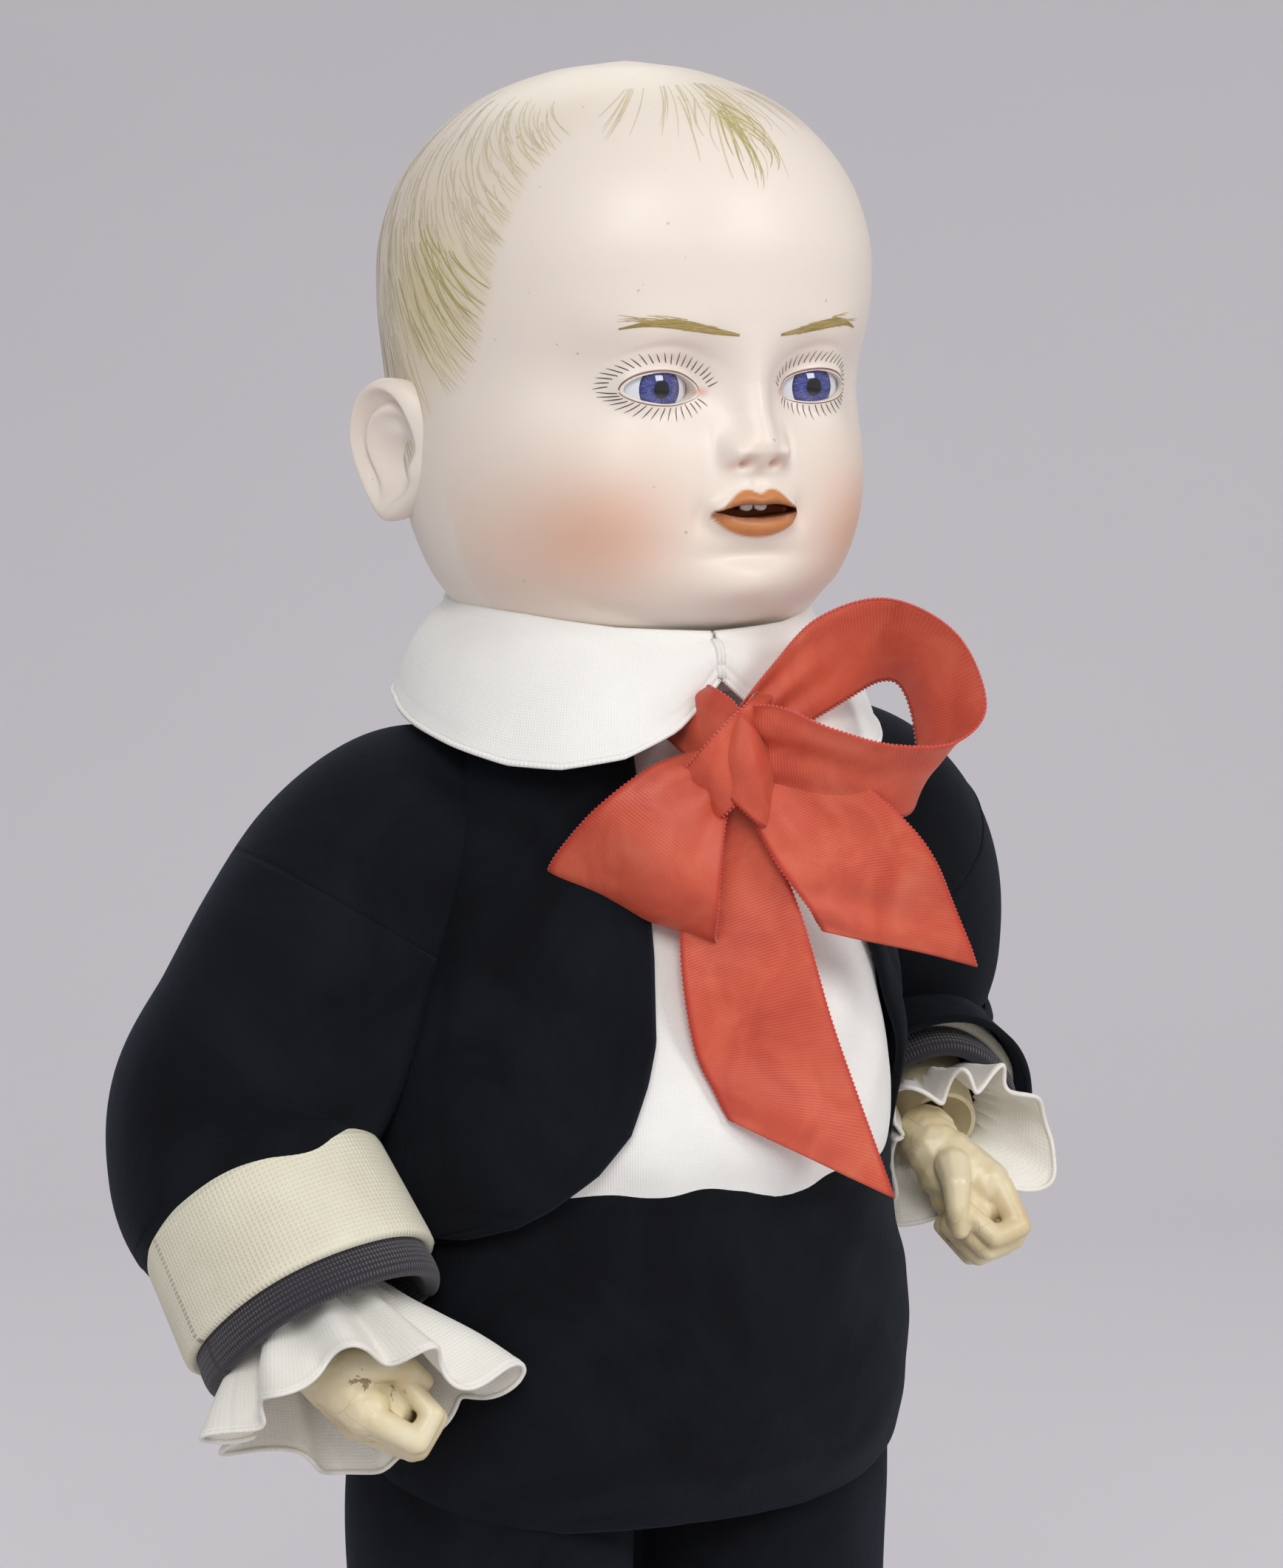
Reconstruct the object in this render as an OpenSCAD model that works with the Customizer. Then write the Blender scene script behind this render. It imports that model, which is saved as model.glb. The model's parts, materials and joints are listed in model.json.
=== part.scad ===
// Bisque-head boy doll on a ball-jointed composition body, in a velvet suit.
// Millimetres, +Z up, the doll faces -Y, origin on the floor under the middle of its box.

/* [Overall] */
// Height of the neck joint above the floor
neck_z = 368; // [360:1:380]
// Height of the shoulder joints above the floor
shoulder_z = 333; // [326:1:337]
// Height of the hip joints above the floor
hip_z = 214; // [210:1:217]
// Distance between the two shoulder joints
shoulder_gap = 116; // [114:1:120]
// Distance between the two hip joints
hip_gap = 62; // [61:0.5:66]

/* [Head] */
// Turn of the head to the doll's left at rest, in degrees
head_turn = 5; // [-20:1:20]
// Wall of the bisque head
bisque_wall = 3.5; // [2.5:0.1:4.5]
// Radius of the rounded neck end that sits in the body
neck_ball_r = 24; // [22:0.1:25]
// Radius of each glass eye
eye_r = 11; // [9:0.1:12]
// Distance between the two eye centres
eye_gap = 37; // [36:0.5:44]
// Height of the eye centres above the neck joint
eye_z = 66; // [63:0.5:69]

/* [Arms] */
// Shoulder joint to elbow joint
upper_arm_len = 59; // [56:0.5:64]
// Elbow joint to wrist joint
forearm_len = 50; // [47:0.5:56]
// Radius of the rounded top of the upper arm
shoulder_r = 16; // [15:0.1:17]
// Radius of the wooden elbow ball
elbow_r = 11; // [10.5:0.1:12]
// Radius of the ball at the wrist end of the hand
wrist_r = 7.5; // [6.5:0.1:8]

/* [Legs] */
// Height of the knee joints above the floor
knee_z = 112; // [106:1:116]
// Radius of the rounded top of the thigh
hip_r = 21; // [19:0.1:22]
// Radius of the wooden knee ball
knee_r = 12.5; // [12:0.1:14]
// Length of the shoe
shoe_len = 66; // [60:1:72]
// Width of the shoe
shoe_w = 29; // [27:0.5:32]

/* [Stringing] */
// Radius of the elastic cord
elastic_r = 1.3; // [1:0.1:1.6]
// Radius of the wire of the hooks
wire_r = 1.1; // [0.8:0.1:1.3]
// Radius of the channels that the elastic runs in
channel_r = 3; // [2.5:0.1:3.5]

/* [Clothes] */
// Thickness of the velvet
velvet_t = 1.8; // [1.4:0.1:2]
// Thickness of the linen
linen_t = 1.2; // [0.8:0.1:1.3]
// Radius of the right jacket sleeve at the elbow
sleeve_r = 25; // [22:0.1:26]
// Width of the cream cuff along the arm
cuff_w = 21; // [18:0.5:22]
// Width of the ribbon
ribbon_w = 28; // [24:1:30]
// Thickness of the ribbon
ribbon_t = 0.8; // [0.6:0.1:1]
// Height of the hem of the breeches above the floor
breeches_z = 122; // [120:1:128]

/* [Fits] */
// Clearance between a ball and the cup that turns on it
joint_gap = 0.4; // [0.3:0.05:0.6]
// Clearance between a glued piece and its seat
glue_gap = 0.1; // [0.05:0.05:0.2]
// Clearance between one layer of clothing and the next
cloth_gap = 0.4; // [0.3:0.05:0.6]

/* [Hidden] */
// Where the body's own upright axis stands from the origin
axis_x = 4.4;
axis_y = 0;

bisque = "mistyrose";
velvet = [0.05, 0.06, 0.09];
linen = "ivory";
ribbon = "tomato";
wood = "burlywood";
composition = "wheat";
elastic = "gainsboro";

RIGHT = -1;
LEFT = 1;
cloth_fn = 20;
up = [0, 0, 1];

// ---- Joint places, from the body's own axis ----
neck = [0, 0, neck_z];
function shoulder(side) = [side * shoulder_gap / 2, 2, shoulder_z];
function hip(side) = [side * hip_gap / 2, 2, hip_z];
function knee(side) = [side * hip_gap / 2, 2, knee_z];
// Directions of the arm bones as the doll is posed
function upper_aim(side) = unit(side == RIGHT ? [-29, 8, -51.5] : [23.5, 36, -41.5]);
function fore_aim(side) = unit(side == RIGHT ? [12, -49, -59] : [-10, -62, -29]);
function elbow(side) = shoulder(side) + upper_arm_len * upper_aim(side);
function wrist(side) = elbow(side) + forearm_len * fore_aim(side);

function unit(v) = v / norm(v);
function lowered(v, d) = [for (a = v) a - d];

// ---- Building blocks ----

// Turns the local -Z axis to a direction, and the local -Y axis as near to `front` as it goes
module aimed(at, dir, front = [0, -1, 0]) {
    w = -unit(dir);
    u = unit(cross(-front, w));
    v = cross(w, u);
    multmatrix([[u[0], v[0], w[0], at[0]], [u[1], v[1], w[1], at[1]], [u[2], v[2], w[2], at[2]]])
        children();
}

// The head's own frame: neck joint at zero, face to -Y
module in_head() translate(neck) rotate([0, 0, head_turn]) children();

// Cloth and other free shapes are kept as one mesh
module as_mesh() resize([0, 0, 0]) children();

// A ring with its own front and back depth: row = [z, half width, front depth, back depth]
function egg_ring(row, grow, n, from = 0, to = 360) =
    [for (i = [0 : n - 1]) let (
        closed = to - from == 360,
        a = from + (to - from) * i / (closed ? n : n - 1),
        depth = sin(a) < 0 ? row[2] : row[3])
        [(row[1] + grow) * cos(a), (depth + grow) * sin(a), row[0]]];

// A closed solid from stacked rings of equal counts, lowest first
module stacked(rings) {
    n = len(rings[0]);
    m = len(rings);
    polyhedron(
        points = [for (r = rings) each r],
        faces = concat(
            [[for (j = [0 : n - 1]) j]],
            [for (i = [0 : m - 2], j = [0 : n - 1]) let (k = (j + 1) % n)
                each [[i * n + j, (i + 1) * n + j, (i + 1) * n + k], [i * n + j, (i + 1) * n + k, i * n + k]]],
            [[for (j = [n - 1 : -1 : 0]) (m - 1) * n + j]]),
        convexity = 6);
}

// A sheet with a thickness: outer and inner grids of points, closed round its edges.
// wrap joins the last column to the first.
module sheet(outer, inner, wrap) {
    n = len(outer[0]);
    m = len(outer);
    o = n * m;
    cols = wrap ? n - 1 : n - 2;
    polyhedron(
        points = concat([for (r = outer) each r], [for (r = inner) each r]),
        faces = concat(
            [for (i = [0 : m - 2], j = [0 : cols]) let (k = (j + 1) % n)
                each [[i * n + j, (i + 1) * n + j, (i + 1) * n + k], [i * n + j, (i + 1) * n + k, i * n + k]]],
            [for (i = [0 : m - 2], j = [0 : cols]) let (k = (j + 1) % n)
                each [[o + i * n + j, o + (i + 1) * n + k, o + (i + 1) * n + j],
                      [o + i * n + j, o + i * n + k, o + (i + 1) * n + k]]],
            [for (j = [0 : cols]) let (k = (j + 1) % n) each [[j, k, o + k], [j, o + k, o + j]]],
            [for (j = [0 : cols]) let (k = (j + 1) % n, t = (m - 1) * n)
                each [[t + j, o + t + k, t + k], [t + j, o + t + j, o + t + k]]],
            wrap ? [] : [for (i = [0 : m - 2]) let (p = i * n, q = (i + 1) * n)
                each [[p, o + p, o + q], [p, o + q, q]]],
            wrap ? [] : [for (i = [0 : m - 2]) let (p = i * n + n - 1, q = (i + 1) * n + n - 1)
                each [[p, o + q, o + p], [p, q, o + q]]]),
        convexity = 6);
}

// Round cord along points
module cord_run(points, r) {
    for (i = [0 : len(points) - 2]) hull() {
        translate(points[i]) sphere(r, $fn = 8);
        translate(points[i + 1]) sphere(r, $fn = 8);
    }
}

// Hulled spheres along points, for soft tubes: each row = [point, radius]
module soft_run(rows, grow) {
    for (i = [0 : len(rows) - 2]) hull() {
        translate(rows[i][0]) sphere(rows[i][1] + grow, $fn = cloth_fn);
        translate(rows[i + 1][0]) sphere(rows[i + 1][1] + grow, $fn = cloth_fn);
    }
}

// A round tube with true walls, along -Z from the top
module tube(top, bottom, r_out, r_in) {
    translate([0, 0, -bottom]) difference() {
        cylinder(r = r_out, h = bottom - top, $fn = 64);
        translate([0, 0, -1]) cylinder(r = r_in, h = bottom - top + 2, $fn = 64);
    }
}

// ---- Head ----
skull_rows = [ // height above the neck joint, half width, front depth, back depth
    [12, 26, 26, 25], [15, 31, 33, 26], [20, 37, 41, 27.5], [27, 43, 46, 30], [36, 47, 47.5, 34],
    [47, 49, 48, 40], [58, 49.5, 48.5, 45], [70, 50, 49.5, 50], [84, 50.5, 51.5, 53.5],
    [96, 49.5, 52, 54], [108, 45, 48.5, 50.5], [118, 37, 41, 43], [125, 27.5, 31, 33],
    [130, 15, 17, 18], [132, 3, 4, 4]];
head_sides = 28;
neck_col_r = neck_ball_r - 0.3;
function neck_rows(r) = [for (a = [-60 : 15 : 0]) [r * sin(a), r * cos(a), r * cos(a), r * cos(a)]];
mouth_z = 39;
ear_z = 53;

module head_outer() {
    stacked([for (row = concat(neck_rows(neck_ball_r), skull_rows)) egg_ring(row, 0, head_sides)]);
    for (side = [RIGHT, LEFT]) ear(side);
    hull() { // nose
        translate([0, -50, 49]) sphere(5, $fn = 16);
        translate([0, -46, 62]) sphere(3.5, $fn = 16);
    }
}

module ear(side) translate([side * 49, 7, ear_z]) rotate([14, 0, side * 24]) scale([0.36, 0.62, 1])
    sphere(17, $fn = 16);

module head_hollow(inset) {
    wall = bisque_wall + inset;
    inner_top = [for (row = skull_rows) if (row[1] > 2 * wall) row];
    inner_neck = neck_rows(neck_ball_r - wall);
    stacked([for (row = concat(inner_neck, inner_top)) egg_ring(row[0] < 12 ? row : [
        min(row[0], 132 - wall), row[1], row[2], row[3]], row[0] < 12 ? 0 : -wall, head_sides)]);
}

eye_y = -31.5;
module eye_hole(side) translate([side * eye_gap / 2, -36, eye_z]) rotate([90, 0, 0])
    scale([1, 0.6, 1]) cylinder(r = 8, h = 20, $fn = 24);

module head_shell() color(bisque) in_head() as_mesh() difference() {
    head_outer();
    head_hollow(0);
    for (side = [RIGHT, LEFT]) {
        eye_hole(side);
        translate([side * eye_gap / 2, eye_y, eye_z]) sphere(eye_r + joint_gap + 0.1, $fn = 28);
    }
    translate([0, -40, mouth_z]) rotate([90, 0, 0]) scale([1, 0.36, 1]) cylinder(r = 8.5, h = 20, $fn = 24);
    translate([0, 0, -neck_ball_r - 1]) cylinder(r = 12.2, h = 10, $fn = 40);
}

tooth_w = 3.2;
module upper_teeth() color("white") in_head() for (side = [RIGHT, LEFT])
    translate([side * tooth_w / 2, mouth_floor - glue_gap, mouth_z + 1.1]) rotate([90, 0, 0])
        cylinder(r = tooth_w / 2 - 0.05, h = 2, $fn = 24);

mouth_floor = -41.6;
module mouth_lining() color("maroon") in_head() as_mesh() difference() { // fits against the inside of the face
    intersection() {
        head_hollow(glue_gap);
        translate([0, mouth_floor, mouth_z]) cube([26, 9, 15], center = true);
    }
    translate([-9, mouth_floor - 10, mouth_z - 3.6]) cube([18, 10, 7.2]);
}

module eye_plaster() color("white") in_head() for (side = [RIGHT, LEFT]) // bed that each eye turns in
    as_mesh() difference() {
        intersection() {
            head_hollow(glue_gap);
            translate([side * eye_gap / 2, eye_y - 3, eye_z]) rotate([90, 0, 0]) cylinder(r = 15, h = 20, $fn = 24);
        }
        translate([side * eye_gap / 2, eye_y, eye_z]) sphere(eye_r + joint_gap + 0.1, $fn = 28);
        translate([side * (eye_gap / 2 - 25), -30, eye_z]) cube([30, 60, 8], center = true);
    }

module cork_stop() color("peru") in_head() translate([0, -34.4, eye_z - 12])
    rotate([90, 0, 0]) cylinder(r = 3, h = 9.6, $fn = 32);

module eye(side) color("lightsteelblue") in_head() translate([side * eye_gap / 2, eye_y, eye_z]) difference() {
    rotate([0, 0, 90]) sphere(eye_r, $fn = 64);
    translate([-side * (eye_r + 1), 0, 0]) rotate([0, side * 90, 0]) // glass is open on the bar's side
        cylinder(r = wire_r + 0.05, h = 7, $fn = 24);
}

module eye_bar() color("silver") in_head() translate([0, eye_y, eye_z]) {
    reach = eye_gap / 2 - eye_r + 5;
    rotate([0, 90, 0]) cylinder(r = wire_r, h = 2 * reach, center = true, $fn = 24);
    translate([0, 0, -23]) cylinder(r = wire_r, h = 23, $fn = 24);
}

module eye_weight() color("dimgray") in_head() translate([0, eye_y, eye_z - 28]) difference() {
    cylinder(r = 4.5, h = 10, $fn = 32);
    translate([0, 0, 4.9]) cylinder(r = wire_r + 0.05, h = 7, $fn = 24);
}

// ---- Neck stringing ----
button_top = -7;
hook_drop = 50;
module neck_button() color(wood) in_head() difference() {
    sphere(neck_ball_r - bisque_wall - joint_gap - 0.2, $fn = 64);
    translate([-40, -40, button_top]) cube(80);
    translate([-40, -40, -100 - 17]) cube([80, 80, 100]);
    translate([0, 0, -40]) cylinder(r = wire_r + 0.15, h = 60, $fn = 24);
}

module neck_hook() color("silver") in_head() {
    translate([0, 0, -hook_drop + 5]) cylinder(r = wire_r, h = hook_drop - 5 + button_top + 1.5, $fn = 24);
    translate([0, 0, button_top + 0.1]) cylinder(r = 4, h = 1.5, $fn = 32);
    translate([0, 5, -hook_drop + 5]) rotate([0, 90, 0]) rotate_extrude(angle = 200, start = -90, $fn = 48)
        translate([5, 0]) circle(wire_r, $fn = 20);
}

// ---- Body ----
torso_rows = [ // height, half width, front depth, back depth
    [230, 50, 40, 40], [240, 51, 43, 42], [255, 50, 43, 40], [270, 47, 41, 37], [290, 47, 40, 37],
    [310, 49, 39, 37], [325, 50, 37, 36], [338, 47, 33, 34], [346, 38, 29, 31], [354, 29.5, 28, 28.5]];
hollow_rows = [
    [246, 38, 33, 32], [258, 44, 37, 34], [272, 41, 35, 31], [290, 41, 34, 31], [306, 37, 33, 31],
    [318, 31, 30, 29], [330, 30, 26, 26], [338, 20, 20, 20]];
torso_sides = 28;
web_half = 8.5;

module torso_solid() {
    stacked([for (row = torso_rows) egg_ring(row, 0, torso_sides)]);
    hull() for (y = [-16, 16]) { // web between the legs
        translate([-web_half, y, 216]) rotate([0, 90, 0]) cylinder(r = 9, h = 2 * web_half, $fn = 24);
        translate([-web_half, y * 1.4, 236]) rotate([0, 90, 0]) cylinder(r = 5, h = 2 * web_half, $fn = 24);
    }
}

module torso_hollow() {
    stacked([for (row = hollow_rows) egg_ring(row, 0, torso_sides)]);
    translate(neck) sphere(neck_ball_r + joint_gap + 0.05, $fn = 48);
    translate([0, 0, neck_z - 34]) cylinder(r = 11, h = 20, $fn = 32);
    for (side = [RIGHT, LEFT]) {
        translate(shoulder(side)) sphere(shoulder_r + joint_gap + 0.05, $fn = 36);
        translate(shoulder(side)) rotate([0, -side * 90, 0]) cylinder(r = channel_r + 1, h = 34, $fn = 24);
        translate(hip(side)) sphere(hip_r + joint_gap + 0.05, $fn = 36);
        aimed(hip(side), [0, -cos(8), -sin(8)]) translate([0, 0, -60]) cylinder(r = 18.4, h = 60, $fn = 32);
        translate([hip(side)[0], 2, hip_z]) cylinder(r = channel_r + 1.5, h = 40, $fn = 24);
    }
}

module torso_half(front) color(composition) as_mesh() difference() {
    torso_solid();
    torso_hollow();
    seam = 0.05; // the glue line between the halves
    translate([-100, front ? -seam : seam - 200, 150]) cube([200, 200, 300]);
}

arm_line_y = 9;
module arm_elastic() color(elastic) {
    inner = shoulder_gap / 2;
    cord_run([wrist(RIGHT) - 13 * fore_aim(RIGHT), elbow(RIGHT), shoulder(RIGHT), [-inner + 22, 2, shoulder_z],
              [0, arm_line_y, shoulder_z - 1], [inner - 22, 2, shoulder_z], shoulder(LEFT), elbow(LEFT),
              wrist(LEFT) - 13 * fore_aim(LEFT)], elastic_r);
}

loop_z = neck_z - hook_drop + wire_r + elastic_r + 0.3; // the leg elastic passes through the neck hook
module leg_elastic() color(elastic) for (side = [RIGHT, LEFT])
    cord_run([[0, 5, loop_z], [side * 4.5, 5, loop_z], [side * 7.5, 4.5, loop_z - 7],
              [side * hip_gap / 2, 2, hip_z + 34], hip(side), knee(side), knee(side) - [0, 0, 40]], elastic_r);

// ---- Shirt ----
shirt_rows = [
    [258, 52, 45.2, 42], [271, 51, 45, 41], [278, 55.5, 53, 44.5], [290, 56, 52.5, 45], [305, 54, 47, 42.5],
    [320, 53.2, 42.5, 40.5], [334, 51.5, 38, 38], [346, 42.5, 33.5, 35.5], [354, 35, 32, 33], [359, 32, 31, 32],
    [363.5, 29.8, 29.8, 29.8], [369.2, 29.2, 29.2, 29.2]];
module shirt_body() color(linen) as_mesh() difference() {
    sheet([for (r = shirt_rows) egg_ring(r, 0, 32)], [for (r = shirt_rows) egg_ring(r, -linen_t, 32)], true);
    for (side = [RIGHT, LEFT]) translate(shoulder(side)) sphere(shoulder_r + 1.3, $fn = 32);
}

// Fold line and free edge of the collar, by angle from the front
collar_steps = 26;
collar_open = 12;
function collar_fold(t) = [29.5 + 3.5 * (1 - cos(t)) / 2, 369 + 17 * (1 - cos(t)) / 2];
function collar_edge(t) = [55 - 3 * (1 - cos(t)) / 2, 346 + 16 * (1 - cos(t)) / 2 + 13 * abs(sin(t))];
function collar_point(t, s, d) = let (
    f = collar_fold(t), e = collar_edge(t),
    r = f[0] + (e[0] - f[0]) * s + d * 0.7, z = f[1] + (e[1] - f[1]) * pow(s, 1.3) + d * 0.7)
    [r * sin(t), -r * cos(t) * (0.86 + 0.14 * (1 - s)), z];
module shirt_collar() color(linen) {
    ts = [for (i = [0 : collar_steps]) collar_open + (360 - 2 * collar_open) * i / collar_steps];
    rows = [0, 0.33, 0.66, 1];
    translate([0, 0, cloth_gap]) sheet([for (i = [3 : -1 : 0]) [for (t = ts) collar_point(t, rows[i], linen_t)]],
        [for (i = [3 : -1 : 0]) [for (t = ts) collar_point(t, rows[i], 0)]], false);
}

// ---- Jacket ----
jacket_rows = [
    [259, 58.9, 55.5, 49.5], [270, 58.7, 56, 48.7], [278, 58.5, 56.2, 48], [290, 58.5, 55.8, 48], [305, 57, 50.3, 45.6],
    [320, 56, 45.4, 43.6], [334, 54.4, 41, 41], [346, 45.4, 36.6, 38.4], [352, 39.8, 35.6, 36.8]];
// Angle from the front of each front edge, by height
right_edge = [[259, 52], [263, 38], [270, 27], [280, 22], [320, 20], [352, 24]];
left_edge = [[259, 86], [266, 78], [280, 72], [296, 62], [320, 48], [352, 30]];
jacket_cols = 34;
module jacket_body() color(velvet) as_mesh() difference() {
    sheet([for (r = jacket_rows) jacket_ring(r, 0)], [for (r = jacket_rows) jacket_ring(r, -velvet_t)], false);
    for (side = [RIGHT, LEFT]) translate([side * 40, 2, shoulder_z]) rotate([0, side * 90, 0])
        cylinder(r = armhole_r, h = 40, $fn = 32);
}
armhole_r = 21;
function jacket_ring(row, grow) = egg_ring(row, grow, jacket_cols,
    from = -90 + lookup(row[0], left_edge), to = 270 - lookup(row[0], right_edge));

// ---- Bow ----
knot = [-1, -45.2, 359];
module ribbon_band(rows) { // each row = [centre, direction across, half width], top first
    rising = [for (i = [len(rows) - 1 : -1 : 0]) rows[i]];
    sheet([for (r = rising) [for (s = [-1 : 1]) r[0] + s * r[2] * unit(r[1]) + [0, -ribbon_t / 2, 0]]],
          [for (r = rising) [for (s = [-1 : 1]) r[0] + s * r[2] * unit(r[1]) + [0, ribbon_t / 2, 0]]], false);
}
module bow_knot() color(ribbon) translate(knot) scale([1, 0.8, 1.1]) sphere(6.5, $fn = 20);
half_ribbon = ribbon_w / 2;
module bow_loops() color(ribbon) {
    hull() {
        translate(knot + [-7.9, -4.6, 0.5]) rotate([0, 90, 0]) cylinder(r = 4, h = 1, $fn = 16);
        translate(knot + [-40, -4.5, -19]) rotate([0, 15, 0]) scale([0.3, 0.34, 1]) sphere(half_ribbon + 1, $fn = 16);
    }
    hull() {
        translate(knot + [6.9, -4, 1.5]) rotate([0, 90, 0]) cylinder(r = 4, h = 1, $fn = 16);
        translate(knot + [50, -3, 11]) rotate([0, 30, 0]) scale([0.3, 0.4, 1]) sphere(half_ribbon + 4, $fn = 16);
    }
}
module bow_tails() color(ribbon) {
    ribbon_band([[knot + [1, -2, -7.6], [1, 0, 0.3], 3], [[8, -56, 335], [1, 0, 0.25], 9],
                 [[13, -60.5, 315], [1, 0, 0.3], 13], [[20, -60.5, 295], [1, 0, 0.5], 14], [[28, -58, 278], [1, 0, 0.9], 11]]);
    ribbon_band([[knot + [5, -2, -7.6], [0.8, 0, 0.6], 3], [[24, -54, 341], [0.7, 0, 0.8], 11],
                 [[38, -55, 328], [0.6, 0, 0.8], 14], [[50, -52, 316], [0.6, 0, 0.8], 13]]);
}

// ---- Breeches ----
seat_rows = [[203, 55, 37, 38], [212, 60, 45, 44], [228, 61, 50, 47], [245, 59.5, 50.3, 47], [257, 56.4, 49, 45.4]];
leg_out = 30;
hem_out = 27.5;
function seat_solid_rows(top) = concat(seat_rows, [[top, 55.6, 48.6, 44.8]]);
module breeches_body(grow, over) {
    stacked([for (r = seat_solid_rows(262 + over)) egg_ring([r[0] - grow * (r[0] == 203 ? 1 : 0), r[1], r[2], r[3]],
        grow, torso_sides)]);
    for (side = [RIGHT, LEFT]) hull() {
        translate([side * hip_gap / 2, 2, breeches_z - over]) cylinder(r = hem_out + grow, h = 1, $fn = 28);
        translate([side * hip_gap / 2, 2, 222]) cylinder(r = leg_out + grow, h = 1, $fn = 28);
    }
}
module breeches() color(velvet) as_mesh() difference() {
    breeches_body(0, 0);
    breeches_body(-velvet_t, 1);
}
module waistband() color(velvet) {
    rows = [[262 + glue_gap, 55.3, 48.6, 44.8], [272, 54.4, 48.6, 44.4]];
    sheet([for (r = rows) egg_ring(r, 0, torso_sides)], [for (r = rows) egg_ring(r, -velvet_t, torso_sides)], true);
}

// ---- Arms ----
limb_end_r = 6.6;
function end_drop(ball_r) = sqrt(pow(ball_r, 2) - pow(limb_end_r - 0.9, 2));

module upper_arm(side) color(wood) difference() {
    union() {
        aimed(shoulder(side), upper_aim(side)) {
            sphere(shoulder_r, $fn = 64);
            drop = end_drop(elbow_r);
            rotate_extrude($fn = 64) polygon([[0, -5], [9.6, -10], [9.6, -26], [11, -upper_arm_len + 22],
                [9.5, -upper_arm_len + 15], [limb_end_r, -upper_arm_len + drop], [0, -upper_arm_len + drop]]);
        }
    }
    translate(elbow(side)) sphere(elbow_r + joint_gap, $fn = 64);
    aimed(shoulder(side), upper_aim(side)) translate([0, 0, -upper_arm_len])
        cylinder(r = channel_r, h = upper_arm_len - 3, $fn = 32);
    translate(shoulder(side)) rotate([0, -side * 90, 0]) translate([0, 0, 3]) cylinder(r = channel_r, h = 30, $fn = 32);
    aimed(shoulder(side), upper_aim(side)) sphere(channel_r + 2, $fn = 32);
}

module elbow_ball(side) color(wood) difference() {
    aimed(elbow(side), upper_aim(side)) sphere(elbow_r, $fn = 64);
    aimed(elbow(side), upper_aim(side)) sphere(channel_r + 2, $fn = 32);
    aimed(elbow(side), fore_aim(side)) translate([0, 0, -20]) cylinder(r = channel_r, h = 17, $fn = 32);
    aimed(elbow(side), upper_aim(side)) translate([0, 0, 3]) cylinder(r = channel_r, h = 17, $fn = 32);
}

module forearm(side) color(composition) aimed(elbow(side), fore_aim(side)) difference() {
    drop = end_drop(elbow_r);
    rotate_extrude($fn = 64) polygon([[0, -drop], [limb_end_r, -drop], [9, -15], [12, -24], [11.5, -32],
        [9.5, -forearm_len + 6], [8.6, -forearm_len + 2], [0, -forearm_len + 2]]);
    sphere(elbow_r + glue_gap, $fn = 64);
    translate([0, 0, -forearm_len]) sphere(wrist_r + joint_gap, $fn = 64);
    translate([0, 0, -forearm_len]) cylinder(r = channel_r, h = forearm_len, $fn = 32);
}

// Front of the hand faces the palm's back
function hand_front(side) = side == RIGHT ? [-0.75, -0.55, 0.1] : [0.5, -0.2, 0.85];
module hand(side) color(composition) aimed(wrist(side), fore_aim(side), hand_front(side)) difference() {
    union() {
        sphere(wrist_r, $fn = 64);
        hull() { // palm
            translate([0, 0, -5]) sphere(6.5, $fn = 16);
            translate([6, 0, -16]) sphere(6, $fn = 16);
            translate([-6, 0, -18]) sphere(6, $fn = 16);
        }
        for (i = [0 : 3]) hull() { // fingers, curled towards the palm
            translate([-7.5 + 5 * i, 0.5, -20]) sphere(3.6, $fn = 14);
            translate([-6.5 + 4.4 * i, 8, -32 - (i == 1 || i == 2 ? 2 : 0)]) sphere(2.9, $fn = 14);
        }
        hull() { // thumb
            translate([-side * 8, 1, -12]) sphere(4, $fn = 14);
            translate([-side * 12, 3, -19]) sphere(3, $fn = 14);
        }
    }
    translate([0, 0, -4]) cylinder(r = wire_r + glue_gap, h = 20, $fn = 24);
}
module hand_hook(side) color("silver") aimed(wrist(side), fore_aim(side)) {
    translate([0, 0, -3.8]) cylinder(r = wire_r, h = 15.2, $fn = 24);
}

// Path of the sleeve as rows of [point, radius]
function sleeve_rows(side) = let (s = shoulder(side), e = elbow(side), u = upper_aim(side), f = fore_aim(side)) [
    [s + [side * 2, 0, -1], 22], [s + 26 * u, sleeve_radius(side)], [e + 2 * (u - f), sleeve_radius(side) - 0.5],
    [e + 12 * f, sleeve_radius(side) - 1], [e + 26 * f, cuff_in_r(side) - cloth_gap - 0.2]];
function sleeve_radius(side) = side == RIGHT ? sleeve_r : sleeve_r - 3.2; // the left one is pressed by the bent arm
function cuff_in_r(side) = sleeve_radius(side) - 0.8;
cuff_t = 1.6;
cuff_top = 20;
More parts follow.
